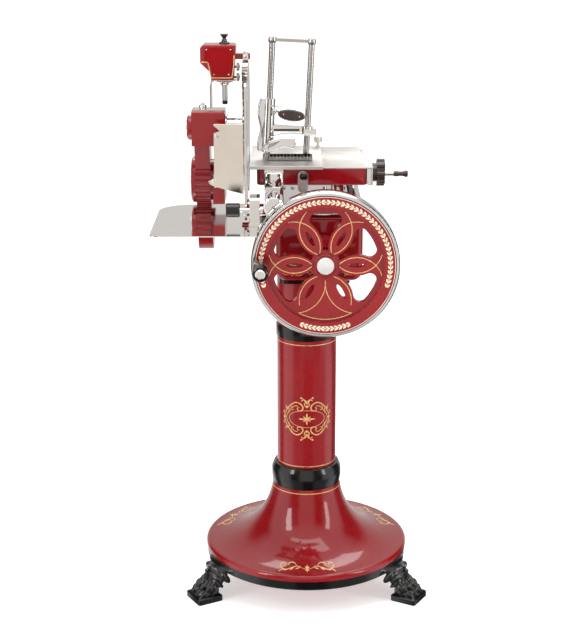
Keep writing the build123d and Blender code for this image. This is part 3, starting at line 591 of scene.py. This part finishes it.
def arc(cu, cv, radius, start, end, steps=40):
    """Points on a circle between two angles in degrees."""
    angles = [math.radians(start + (end - start) * step / steps) for step in range(steps + 1)]
    return [(cu + radius * math.cos(angle), cv + radius * math.sin(angle)) for angle in angles]


def swell(count, thick, thin=0.25):
    """Stroke widths that fade at both ends."""
    return [thick * (thin + (1 - thin) * math.sin(math.pi * (index + 0.5) / count)) for index in range(count)]


def curve(points, steps=8):
    """Smooth line through a few points (Catmull-Rom)."""
    made = []
    for index in range(len(points) - 1):
        p0, p1 = points[max(index - 1, 0)], points[index]
        p2, p3 = points[index + 1], points[min(index + 2, len(points) - 1)]
        for step in range(steps):
            t = step / steps
            made.append(tuple(0.5 * (2 * b + (c - a) * t + (2 * a - 5 * b + 4 * c - d) * t * t
                                     + (3 * b - a - 3 * c + d) * t ** 3)
                              for a, b, c, d in zip(p0, p1, p2, p3)))
    made.append(points[-1])
    return made


def closed_curve(points, steps):
    """Smooth closed outline through a few points."""
    return curve(points + [points[0]], steps)[:-1]


def across(path):
    """Each point of an open path with the unit direction that points across it."""
    for index, (u, v) in enumerate(path):
        before, after = path[max(index - 1, 0)], path[min(index + 1, len(path) - 1)]
        du, dv = after[0] - before[0], after[1] - before[1]
        length = math.hypot(du, dv)
        yield u, v, -dv / length, du / length


def mirrored(path):
    return [(-u, v) for u, v in path]


def raised(path, rise):
    return [(u, v + rise) for u, v in path]


def leaf(cu, cv, length, angle, bend=0.25, steps=14):
    """Slim curved leaf drawn as one stroke."""
    turn = math.radians(angle)
    points = []
    for step in range(steps + 1):
        share = step / steps
        along, aside = length * share, bend * length * math.sin(math.pi * share * 0.5) ** 2
        points.append((cu + along * math.cos(turn) - aside * math.sin(turn),
                       cv + along * math.sin(turn) + aside * math.cos(turn)))
    return points


def from_front(x, z):
    """Looks along +Y at a point of the front view."""
    return Vector((x, -2.0, z)), Vector((0, 1, 0))


def from_left(y, z):
    return Vector((-2.0, y, z)), Vector((1, 0, 0))


def from_right(y, z):
    return Vector((2.0, y, z)), Vector((-1, 0, 0))


def around_column(angle_zero, radius):
    """Wraps u round the column, starting at a bearing in degrees."""

    def place(u, v):
        bearing = math.radians(angle_zero) + u / radius
        out = Vector((math.cos(bearing), math.sin(bearing), 0))
        return out * 0.9 + Vector((0, 0, v)), -out

    return place


def on_bell(bearing_zero, low, high):
    """Wraps u round the bell and v down its slope, looking in square to the flare."""

    def place(u, v):
        bearing = math.radians(bearing_zero) + u / 0.17
        out = Vector((math.cos(bearing), math.sin(bearing), 0))
        start = out * 0.40 + Vector((0, 0, 0.42))
        share = (v - low) / (high - low)
        aim = out * (0.225 - 0.075 * share) + Vector((0, 0, 0.125 + 0.045 * share))
        return start, (aim - start).normalized()

    return place


# ---- cast paws
def paw_shapes():
    """Lumps of one paw as (centre, half sizes, turn in degrees).  X outwards, Y sideways, in millimetres."""
    shapes = [
        ((302, 0, 20), (36, 33, 13), (0, 0, 0)),
        ((290, 0, 34), (25, 33, 20), (0, 25, 0)),
        ((276, 0, 52), (20, 35, 22), (0, 40, 0)),
        ((266, 0, 70), (17, 44, 19), (0, 30, 0)),
        ((257, 0, 85), (15, 60, 12), (0, 0, 0)),
    ]
    for side in (-1, 1):
        # folds of the mane run from the knuckles up and back under the ring
        shapes += [
            ((281, side * 17, 76), (8, 27, 6), (side * -14, 0, side * 16)),
            ((285, side * 24, 63), (8, 24, 6), (side * -20, 0, side * 24)),
            ((284, side * 30, 49), (8, 20, 6), (side * -26, 0, side * 34)),
            ((252, side * 50, 84), (10, 26, 11), (side * -6, 0, side * 22)),
            ((270, side * 44, 68), (9, 20, 10), (side * -34, 0, side * 30)),
            ((294, side * 33, 34), (13, 6, 11), (0, 20, side * 8)),
        ]
    for aside in (-27, -9.5, 9.5, 27):
        reach = 0 if abs(aside) < 15 else -9
        shapes += [
            ((303 + reach, aside, 43), (10, 7.5, 9), (0, 35, 0)),
            ((316 + reach, aside * 1.02, 35), (11, 8, 8.5), (0, 42, 0)),
            ((327 + reach, aside * 1.04, 24), (9, 6.8, 7.5), (0, 50, 0)),
        ]
    return shapes


def make_paw(node_name, bearing):
    """Sculpts one paw: the lumps are fused and smoothed into one casting."""
    mesh = bmesh.new()
    for centre, size, turn in paw_shapes():
        spin = Matrix.Rotation(math.radians(turn[2]), 4, "Z") @ Matrix.Rotation(math.radians(turn[1]), 4, "Y")
        spin = spin @ Matrix.Rotation(math.radians(turn[0]), 4, "X")
        place = Matrix.Translation(centre) @ spin @ Matrix.Diagonal((*size, 1))
        bmesh.ops.create_icosphere(mesh, subdivisions=3, radius=1, matrix=place)
    whole = Matrix.Rotation(math.radians(bearing), 4, "Z") @ Matrix.Scale(MM, 4)
    bmesh.ops.transform(mesh, matrix=whole, verts=mesh.verts)
    data = bpy.data.meshes.new(node_name + "_paw")
    mesh.to_mesh(data)
    mesh.free()
    data.materials.append(MATERIALS["black_enamel"])
    paw = bpy.data.objects.new(node_name + "_paw", data)
    bpy.context.scene.collection.objects.link(paw)
    remesh = paw.modifiers.new("fuse", "REMESH")
    remesh.mode = "VOXEL"
    remesh.voxel_size = 1.5 * MM
    remesh.use_smooth_shade = True
    smooth = paw.modifiers.new("smooth", "SMOOTH")
    smooth.iterations = 3
    smooth.factor = 0.5
    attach(paw, "stand")
    return paw


def make_pad(node_name, bearing):
    """Bevelled sole and the moulded edge under one paw."""
    build = Builder()
    turn = Matrix.Rotation(math.radians(bearing), 3, "Z")
    levels = ((0, -0.6), (1, 0), (14, 0), (15, -1), (21, -11), (24, -18))
    rows = []
    for height, grow in levels:
        half_long, half_wide, corner = 35 + grow, 37.5 + grow, 6
        ring = []
        for quarter in range(4):
            for step in range(7):
                angle = math.radians(90 * quarter + 15 * step)
                corner_x = (half_long - corner) * (1 if quarter in (0, 3) else -1)
                corner_y = (half_wide - corner) * (1 if quarter in (0, 1) else -1)
                local = Vector((306 + corner_x + corner * math.cos(angle),
                                corner_y + corner * math.sin(angle), height))
                ring.append(turn @ (local * MM))
        rows.append(ring)
    build.grid(rows, close_columns=True)
    size = len(rows[0])
    build.add(rows[0], [list(range(size))[::-1]])
    build.add(rows[-1], [list(range(size))])
    build.make(node_name + "_sole", "stand", "black_enamel", bevel=0.5, angle=25)


def make_claws(node_name, bearing):
    build = Builder()
    turn = Matrix.Rotation(math.radians(bearing), 3, "Z")
    for aside in (-28, -9.8, 9.8, 28):
        tip = 339 if abs(aside) < 15 else 331
        rows = []
        for share in (0, 0.25, 0.5, 0.75, 1.0):
            thick = 4.6 * (1 - share) ** 0.6 + 0.3
            centre = Vector((tip - 16 + 16 * share, aside, 27 - 9.5 * share ** 1.6))
            rows.append([turn @ ((centre + Vector((0, thick * cosine, thick * sine))) * MM)
                         for cosine, sine in circle(10)])
        build.grid(rows, close_columns=True)
    build.make(node_name + "_claws", "stand", "black_enamel")


for foot_name, foot_bearing in (("foot_left", 210), ("foot_right", 330), ("foot_rear", 90)):
    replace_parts(make_paw(foot_name, foot_bearing), foot_name)
    make_pad(foot_name, foot_bearing)
    make_claws(foot_name, foot_bearing)


# ---- gilding on the pedestal
COLUMN_RADIUS = 0.0765


def ring_line(paint, v):
    """Gold line all the way round the column."""
    length = math.tau * COLUMN_RADIUS / MM
    count = 160
    paint.stroke([(length * step / count, v) for step in range(count)], 2.0, closed=True)


def flourish(paint, v, size):
    """Symmetrical spray: a wave that ends in a curl on each side of a lozenge, with small leaves along it."""
    wave = curve([(8, 0), (18, 5), (30, 1), (40, -4), (50, 0), (53, 7), (48, 11), (43, 8), (45, 4)])
    stem = curve([(20, 4.6), (26, 11), (34, 12), (38, 8), (35, 5)])
    sprays = [(wave, 2.4), (stem, 1.8)]
    for along, drop, turn in ((14, 3, -40), (26, 2, -55), (36, -3, -30), (46, -3, -65)):
        sprays.append((leaf(along, drop, 9, turn, 0.15), 2.6))
    for path, width in sprays:
        for half in (path, mirrored(path)):
            placed = [(u * size, v + w * size) for u, w in half]
            paint.stroke(placed, swell(len(placed), width * size * 1.1))
    for turn in (50, 90, 130, 230, 270, 310):
        petal = leaf(0, 0, (8 if turn in (90, 270) else 6) * size, turn, 0.0)
        paint.stroke(raised(petal, v), swell(len(petal), 3.2 * size, 0.1))
    for side in (-1, 1):
        paint.dot(side * 5.8 * size, v, 1.3 * size)


def gild_pedestal():
    column = surface("column")
    lines = Paint(column, around_column(-90, COLUMN_RADIUS))
    ring_line(lines, 662)
    ring_line(lines, 334)
    lines.make("column_gold_lines", "stand", GOLD)

    bell = surface("pedestal_base")
    rows = []
    for cosine, sine in circle(220):
        out = Vector((cosine, sine, 0))
        row = []
        for z in (0.2620, 0.2640):
            hit, normal, _, _ = bell.ray_cast(out * 0.6 + Vector((0, 0, z)), -out, 2.0)
            row.append(hit + normal * 0.0003)
        rows.append(row)
    build = Builder()
    build.grid(rows, close_rows=True)
    build.make("bell_gold_line", "stand", "red_enamel", GOLD)

    for name, bearing in (("front", -90), ("back_left", 150), ("back_right", 30)):
        paint = Paint(bell, on_bell(bearing, 0, 0.05))
        flourish(paint, -3, 1.0)
        paint.make("bell_flourish_" + name, "stand", GOLD)


def cartouche(paint, v):
    """Raised badge: a lying oval in a scrolled frame, with a plain rosette inside."""
    oval = [(48 * cosine, v + 23 * sine) for cosine, sine in circle(80)]
    paint.stroke(oval, 1.3, closed=True, height=0.4)
    frame_lines = ((curve([(66, 0), (60, 12), (53, 24), (42, 37), (28, 44), (16, 40), (10, 31), (14, 23),
                           (22, 22), (25, 28), (20, 31)]), 3.2),
                   (curve([(58, 0), (54, 10), (48, 20), (52, 27), (58, 26), (56, 20)]), 2.4),
                   (curve([(50, 12), (43, 24), (34, 33), (26, 35), (24, 31)]), 1.8),
                   (curve([(36, 41), (42, 31), (40, 24), (34, 24)]), 1.8),
                   (curve([(0, 30), (6, 38), (4, 46), (10, 54), (15, 57)]), 2.8),
                   (curve([(-8, 40), (0, 46), (6, 52), (13, 50)]), 2.0),
                   (curve([(62, 8), (67, 14), (60, 18)]), 1.8), (curve([(54, 24), (60, 32)]), 1.8),)
    for path, width in frame_lines:
        for side in (-1, 1):
            for up in (-1, 1):
                line = [(side * u, v + up * w) for u, w in path]
                paint.stroke(line, swell(len(line), width, 0.45), height=0.9)
    for side in (-1, 1):
        paint.dot(side * 62, v, 3.0, 1.0)
        for up in (-1, 1):
            paint.dot(side * 15, v + up * 57, 2.6, 1.0)
            paint.dot(side * 13, v + up * 50, 1.8, 0.8)
    for up in (-1, 1):
        paint.dot(0, v + up * 34, 3.2, 1.0)
        paint.dot(0, v + up * 42, 2.2, 1.0)
    for turn in range(0, 360, 45):
        size = 16 if turn % 90 == 0 else 10
        petal = [(u * 1.35, w) for u, w in leaf(0, 0, size, turn, 0.0)]
        paint.stroke(raised(petal, v), swell(len(petal), 4.4 if turn % 90 == 0 else 3.2, 0.08), height=0.7)
    paint.dot(0, v, 3.6, 1.1)


gild_pedestal()
badge = Paint(surface("column"), around_column(-90, COLUMN_RADIUS), lift=0.4)
cartouche(badge, 465)
badge.make("column_badge", "stand", BADGE_GOLD)


# ---- hand wheel: gold arcs, raised ornament, edge rings
WHEEL = Vector((40, -270, 917))


def on_wheel(u, v):
    """Looks straight at the wheel from the front, measured from its hub."""
    return Vector((WHEEL.x * MM + u, -1.0, WHEEL.z * MM + v)), Vector((0, 1, 0))


def petal_centre(number):
    turn = math.radians(30 + 60 * number)
    return Vector((86 * math.cos(turn), 86 * math.sin(turn)))


def on_spoke(point, number):
    """True where the line of one circle runs over a spoke or out towards the rim."""
    radius = point.length
    if radius < 32 or radius > 137:
        return False
    near = [(point - petal_centre(number + side)).length < 62.5 for side in (-1, 1)]
    return any(near) or radius > 119


def wheel_lines():
    paint = Paint(surface("flywheel"), on_wheel, lift=0.3)
    for number in range(6):
        centre = petal_centre(number - 1)
        run = []
        for step in range(241):
            angle = math.tau * step / 240
            point = centre + Vector((62 * math.cos(angle), 62 * math.sin(angle)))
            bearing = math.degrees(math.atan2(point.y, point.x)) % 360
            on_panel = 225 < bearing < 315
            if on_panel and (number != 5 or point.length > 116):
                shown = False
            else:
                shown = on_spoke(point, number - 1)
            if shown:
                run.append((point.x, point.y))
            elif run:
                paint.stroke(run, 2.0)
                run = []
        if run:
            paint.stroke(run, 2.0)
    # outline of the solid panel at the bottom
    side_line = arc(74.5, -43, 74.7, 175.4, 261.2, 30)
    paint.stroke(side_line, 1.8)
    paint.stroke(mirrored(side_line), 1.8)
    paint.stroke(arc(0, 0, 132.5, 241.7, 298.3, 40), 1.8)
    paint.make("wheel_gold_lines", "wheel", GOLD)


def raised_ornament(paint, start, end, count):
    """Cast laurel garland along the rim: paired leaves and a berry at every step."""
    for number in range(count):
        middle = math.radians(start + (end - start) * (number + 0.5) / count)
        forward = Vector((math.sin(middle), -math.cos(middle)))
        out = Vector((math.cos(middle), math.sin(middle)))
        if end > start:
            forward = -forward
        centre = out * 153.5
        for side in (-1, 1):
            blade = []
            for u, w in leaf(0, 1.2, 9.4, 38, -0.2, 8):
                point = centre + forward * (u - 4.5) + out * side * w
                blade.append((point.x, point.y))
            paint.stroke(blade, swell(len(blade), 4.6, 0.12), height=0.7)
        berry = centre + forward * 4.4
        paint.dot(berry.x, berry.y, 1.7, 0.8)
        stem = [centre + forward * along for along in (-5.0, -2.0, 2.0)]
        paint.stroke([(point.x, point.y) for point in stem], 1.3, height=0.4)


wheel_lines()
ornament = Paint(surface("flywheel"), on_wheel, lift=0.3)
for garland in ((200, 90, 26), (-20, 90, 26), (247, 270, 6), (293, 270, 6)):
    raised_ornament(ornament, *garland)
ornament.make("wheel_relief", "wheel", CREAM)


def wheel_edge():
    """Ivory lining where the red face meets the polished rim, and beside it a black ring of painted shade
    that stands in for the groove there.
    """
    black = MATERIALS["black_enamel"]
    # the dark ring is painted shade: black enamel laid where the groove between the red face and the rim
    # falls in shadow
    for name, inner, outer, material in (("light", 164.6, 166.2, IVORY), ("dark", 166.6, 168.0, black)):
        build = Builder()
        build.lathe(WHEEL, (0, -1, 0), [(inner, -0.2), (inner, 0.3), (outer, 0.3), (outer, -0.2)], 160)
        build.make("wheel_lining_" + name, "wheel", "red_enamel", material)
    build = Builder()
    build.lathe((40, -267, 917), (0, -1, 0), [(21.5, 0), (21.5, 1.2), (24.5, 2), (27.5, 1.2), (27.5, 0)], 64)
    build.make("wheel_hub_ring", "wheel", "red_enamel")


wheel_edge()


# ---- machine frame: gold scroll corners
def gild_base():
    target = surface("machine_base")
    paint = Paint(target, from_front)

    def corner(u, v, side, up):
        """Spray of leaves that grows from a corner, towards the given side and up or down."""
        for path, width in (
            (curve([(0, 0), (14, -2), (26, 2), (34, 10), (31, 17), (24, 16), (25, 11)]), 2.4),
            (curve([(4, -3), (16, -8), (30, -7), (40, -1), (46, 4)]), 1.8),
            (leaf(10, 1, 11, 50, 0.2), 2.8),
            (leaf(20, 2, 10, 75, 0.2), 2.6),
            (leaf(28, -6, 10, -30, 0.2), 2.4),
        ):
            line = [(u + side * a, v + up * b) for a, b in path]
            paint.stroke(line, swell(len(line), width))

    for place in ((-70, 874, 1, 1), (126, 874, -1, 1), (-4, 872, 1, 1), (-4, 872, -1, 1),
                  (-70, 1000, 1, -1), (126, 1000, -1, -1)):
        corner(*place)
    paint.make("base_scrolls_front", "stand", GOLD)
    for name, place in (("left", from_left), ("right", from_right)):
        paint = Paint(target, place)
        for u, side in ((-132, 1), (232, -1)):
            corner(u, 876, side, 1)
            corner(u, 998, side, -1)
        for v in (864, 1006):
            paint.stroke([(-95 + step * 2.9, v) for step in range(100)], 1.5)
        paint.make("base_scrolls_" + name, "stand", GOLD)


gild_base()


# ---- sharpener: framed front, gold border, hardware
def dress_sharpener():
    """The front cover of the casing has a raised frame, a gold line inside it and four small screws."""
    panel = [(-252, 1370), (-252, 1398), (-246, 1404.5), (-187.5, 1404.5), (-181.5, 1398), (-183, 1366),
             (-187, 1338), (-192, 1333), (-229, 1333), (-234, 1338), (-239, 1364), (-244, 1370)]
    gold_edge = [(-259, 1368), (-246.5, 1368), (-242, 1363), (-236.5, 1334), (-232, 1330.5), (-189, 1330.5),
                 (-184.5, 1334), (-180.5, 1362), (-179.5, 1384)]
    for face, front in (("front", -31.0), ("back", 31.0)):
        out = -1 if front < 0 else 1

        def place(u, v, rise):
            return Vector((u * MM, (front + out * rise) * MM, v * MM))

        cover = Builder()
        cover.cushion(panel, place,
                      ((0.0, 0.0), (0.3, 1.7), (1.0, 2.4), (3.0, 2.4), (4.2, 1.6), (4.8, 0.9), (6.0, 0.9)))
        cover.make("sharpener_cover_" + face, "sharpener", "red_enamel", DEEP_RED)
        line = Builder()
        section = ((-1.3, 0.0), (-1.1, 0.5), (1.1, 0.5), (1.3, 0.0))
        line.grid([[place(u + du * side, v + dv * side, rise) for side, rise in section]
                   for u, v, du, dv in across(curve(gold_edge, 6))])
        line.make("sharpener_gold_line_" + face, "sharpener", "red_enamel", GOLD)
        screws = Builder()
        for u, v in ((-246, 1398.5), (-187.5, 1398.5), (-193, 1338.5), (-228.5, 1338.5)):
            screw_head(screws, (u, front + out * 2.2, v), (0, out, 0), 1.7, 1.0, 0.7 + u)
        screws.make("sharpener_screws_" + face, "sharpener", "chrome")

    knob = Builder()
    knob.lathe((PLUNGER_X, 0, 1410), (0, 0, 1), [(13.5, 0), (13.5, 1.5), (10, 4), (6.6, 5.8), (6.2, 7.5)], 40)
    knob.make("sharpener_knob_collar", "sharpener", "dark_grip", BLACK_GLOSS)

    below = Builder()
    below.lathe((PLUNGER_X, 0, 1320.3), (0, 0, -1),
                [(0, 0), (21, 0), (21, 2.2), (12, 4), (11.5, 8), (9.2, 9.2), (9, 12),
                 (7, 12.6), (6.8, 12.6)], 48)
    below.make("sharpener_bush", "sharpener", "polished_steel")

    knurl = Builder()
    ridges = 80
    rows = []
    for height, grow in ((1253.2, -0.6), (1253.8, 0), (1258.9, 0), (1259.5, -0.6)):
        ring = []
        for step, (cosine, sine) in enumerate(circle(ridges)):
            radius = 9.0 + grow + (0.28 if step % 2 else -0.28)
            ring.append(Vector((-259 + radius * cosine, radius * sine, height)) * MM)
        rows.append(ring)
    knurl.skin(rows, (-1,))
    knurl.make("bracket_knurled_screw", "stand", "chrome")


def dress_bracket():
    """Bent strap beside the upright of the sharpener's bracket, and the rubber tip of the plunger."""
    strap = Builder()
    path = curve([(-239.6, 1254), (-239.6, 1285), (-239.4, 1308), (-236, 1317.5), (-228, 1321.4)], 6)
    section = ((-1.2, -12.5), (1.2, -12.5), (1.2, 12.5), (-1.2, 12.5))
    strap.skin([[Vector((u + du * side, y, v + dv * side)) * MM for side, y in section]
                for u, v, du, dv in across(path)])
    strap.make("bracket_strap", "stand", "polished_steel", ROD_STEEL, bevel=0.5)
    tip = Builder()
    tip.lathe((PLUNGER_X, 0, 1270.8), (0, 0, -1),
              [(0, 0), (6.7, 0), (6.7, 1.2), (6.7, 6.8), (5.8, 8.2), (0, 8.4)], 36)
    tip.make("plunger_tip", "plunger", "dark_grip", BLACK_GLOSS)


def dress_arm():
    """Clamp block at the end of the sharpener's arm, with its pinch screw."""
    build = Builder()
    build.box((-159, -15.5, 1371.5), (-145.5, -13.5, 1388.5))
    build.box((-159, 13.5, 1371.5), (-145.5, 15.5, 1388.5))
    build.box((-159, -15.5, 1387), (-145.5, 15.5, 1388.8))
    build.make("arm_clamp", "stand", "chrome", bevel=0.5)
    screws = Builder()
    screw_head(screws, (-152.2, -15.5, 1380), (0, -1, 0), 4.2, 2.4, 0.4)
    screw_head(screws, (-152.2, 0, 1388.8), (0, 0, 1), 3.8, 2.0, 1.1)
    screws.make("arm_clamp_screws", "stand", "polished_steel")


# ---- housing: cap hardware and blade sleeve rings
def dress_housing():
    caps = Builder()
    for y, z, face, radius in ((0, BLADE_HEIGHT, -299, 6.5), (60, 1063, -293, 8.5)):
        caps.lathe((face + 0.6, y, z), (-1, 0, 0),
                   [(radius * 1.25, 0), (radius * 1.25, 1.2), (radius, 1.8)], 40)
        screw_head(caps, (face - 1, y, z), (-1, 0, 0), radius, 2.4, 0.9)
    caps.make("housing_cap_screws", "stand", "chrome")
    rings = Builder()
    rings.lathe((-204, 0, BLADE_HEIGHT), (1, 0, 0), [(28.2, 0), (33.5, 0), (33.5, 4), (31, 6), (28.2, 6)], 56)
    rings.lathe((-163, 0, BLADE_HEIGHT), (1, 0, 0), [(28.2, 0), (31, 0), (31, 2.4), (28.2, 2.6)], 56)
    rings.make("blade_sleeve_rings", "stand", "chrome")


dress_sharpener()
dress_bracket()
dress_arm()
dress_housing()


# ---- clamp tower: rounded covers, rivets, carriage casting
def dress_press():
    """Rounded fronts on the flat castings of the meat press, with the rivets and rim of its grip."""
    lean = math.radians(2.8)

    def on_wedge(u, v, rise):
        return Vector((u, -15.5 - rise, v)) * MM

    def on_casting(u, v, rise):
        return Vector((-4 + (u - 97) * math.cos(lean) + v * math.sin(lean), 16 - rise,
                       1122.4 - (u - 97) * math.sin(lean) + v * math.cos(lean))) * MM

    def on_lever(u, v, rise):
        return Vector((u, -8 - rise, v)) * MM

    rounding = ((0.0, -0.6), (0.0, 0.9), (0.8, 2.2), (2.0, 3.2), (3.2, 3.8), (4.2, 4.0), (4.8, 4.0))
    wedge = Builder()
    outline = [(-112, 1152), (-100, 1170), (-66, 1182), (-34, 1180), (-28, 1168), (-36, 1153), (-60, 1157),
               (-92, 1146)]
    wedge.cushion(closed_curve(outline, 6), on_wedge, rounding)
    wedge.make("wedge_cover", "wedge", "chrome")
    crease = Builder()
    crease.cushion(closed_curve([(-100, 1154), (-84, 1160), (-66, 1176), (-94, 1167)], 6),
                   lambda u, v, rise: on_wedge(u, v, rise + 3.9),
                   ((0.0, 0.0), (0.6, 0.9), (1.6, 1.4), (2.0, 1.4)))
    crease.make("wedge_crease", "wedge", "chrome", ROD_STEEL)
    casting = Builder()
    outline = [(-28, 127), (-22, 146), (-6, 142), (-8, 92), (-12, 60), (-10, 20), (-24, 16), (-26, 40),
               (-20, 70), (-28, 104)]
    casting.cushion(closed_curve(outline, 6), on_casting, rounding)
    casting.make("casting_cover", "press", "chrome")
    lever = Builder()
    outline = [(-84, 1254), (-60, 1253), (-30, 1249), (-30, 1240), (-60, 1242), (-84, 1240)]
    lever.cushion(closed_curve(outline, 5), on_lever,
                  ((0.0, -0.5), (0.2, 0.8), (1.2, 2.2), (2.4, 2.8), (2.9, 2.8)))
    lever.lathe((-76, -7.8, 1247), (0, -1, 0),
                [(9.8, 0), (9.8, 3), (8.5, 4.8), (5.2, 5.6), (4.8, 7.4), (0, 8)], 36)
    lever.make("lever_cover", "press_arm", "chrome")
    grip = Builder()
    tilt = math.radians(-8)
    rows = []
    for grow, y in ((0.2, -12.0), (1.3, -12.4), (1.3, -15.0), (0.2, -15.4)):
        ring = []
        for cosine, sine in circle(56):
            u, v = (33 + grow) * cosine, (14 + grow) * sine
            ring.append(Vector((-40 + u * math.cos(tilt) - v * math.sin(tilt), y,
                                1237 + u * math.sin(tilt) + v * math.cos(tilt))) * MM)
        rows.append(ring)
    grip.grid(rows, close_columns=True)
    for side in (-19.8, 19.8):
        grip.lathe((-40 + side, -21.9, 1237 - side * 0.139), (0, -1, 0),
                   [(1.6, 0), (1.6, 0.5), (0.9, 1.0), (0, 1.1)], 20)
    grip.make("grip_rim_and_rivets", "press_arm", "chrome")
    # painted shade: a black strip stands in for the shadow inside the groove of the press arm
    arm = Builder()
    arm.box((-84, 6, 1194.5), (-20, 9.9, 1199.2))
    arm.make("press_arm_groove_shade", "press", "chrome", BLACK_GLOSS, bevel=0.6)
    blade = Builder()
    section = ((-2, -1.2), (-2.7, 0), (-2, 1.2), (9, 1.2), (9, -1.2))
    blade.skin([[Vector((u, y, v + rise)) * MM for y, rise in section]
                for u, v in curve([(-92, 1180), (-70, 1186.5), (-45, 1189), (-15, 1188), (20, 1185.5)], 5)])
    blade.make("press_blade", "press", "polished_steel", bevel=0.3)


def dress_carriage():
    """Rounded front on the bearing block that carries the table on the round bar."""
    build = Builder()
    rows = []
    for z, grow in ((1073, -3.0), (1074, -0.8), (1077, 0), (1104, 0), (1108, -0.8), (1109.5, -3.0)):
        row = []
        for step in range(25):
            angle = math.pi * step / 24
            row.append(Vector((-83 - (23 + grow) * math.cos(angle), -99.5 - (11 + grow) * math.sin(angle),
                               z)) * MM)
        rows.append(row)
    build.skin(rows, closed=False)
    build.make("bearing_front", "carriage", "chrome")


dress_press()
dress_carriage()


# ---- small screws that show from the front
def dress_front():
    """Screws of the guide bar, the deflector and the crank handle."""
    stand = Builder()
    screw_head(stand, (-83, -221.4, 1048), (0, -1, 0), 4, 1.4, 0.6)
    stand.make("guide_bar_screw", "stand", "machined_steel")
    plate = Builder()
    for x, z in ((-220, 1196), (-229, 1086)):
        screw_head(plate, (x, -90.3, z), (0, -1, 0), 4.2, 1.8, 0.3)
    plate.make("deflector_screws", "deflector", "polished_steel")
    handle = Builder()
    screw_head(handle, (-113, -356.6, 917), (0, -1, 0), 7.5, 0.35, 0.8)
    handle.make("handle_screw_slot", "wheel", "chrome")


dress_front()
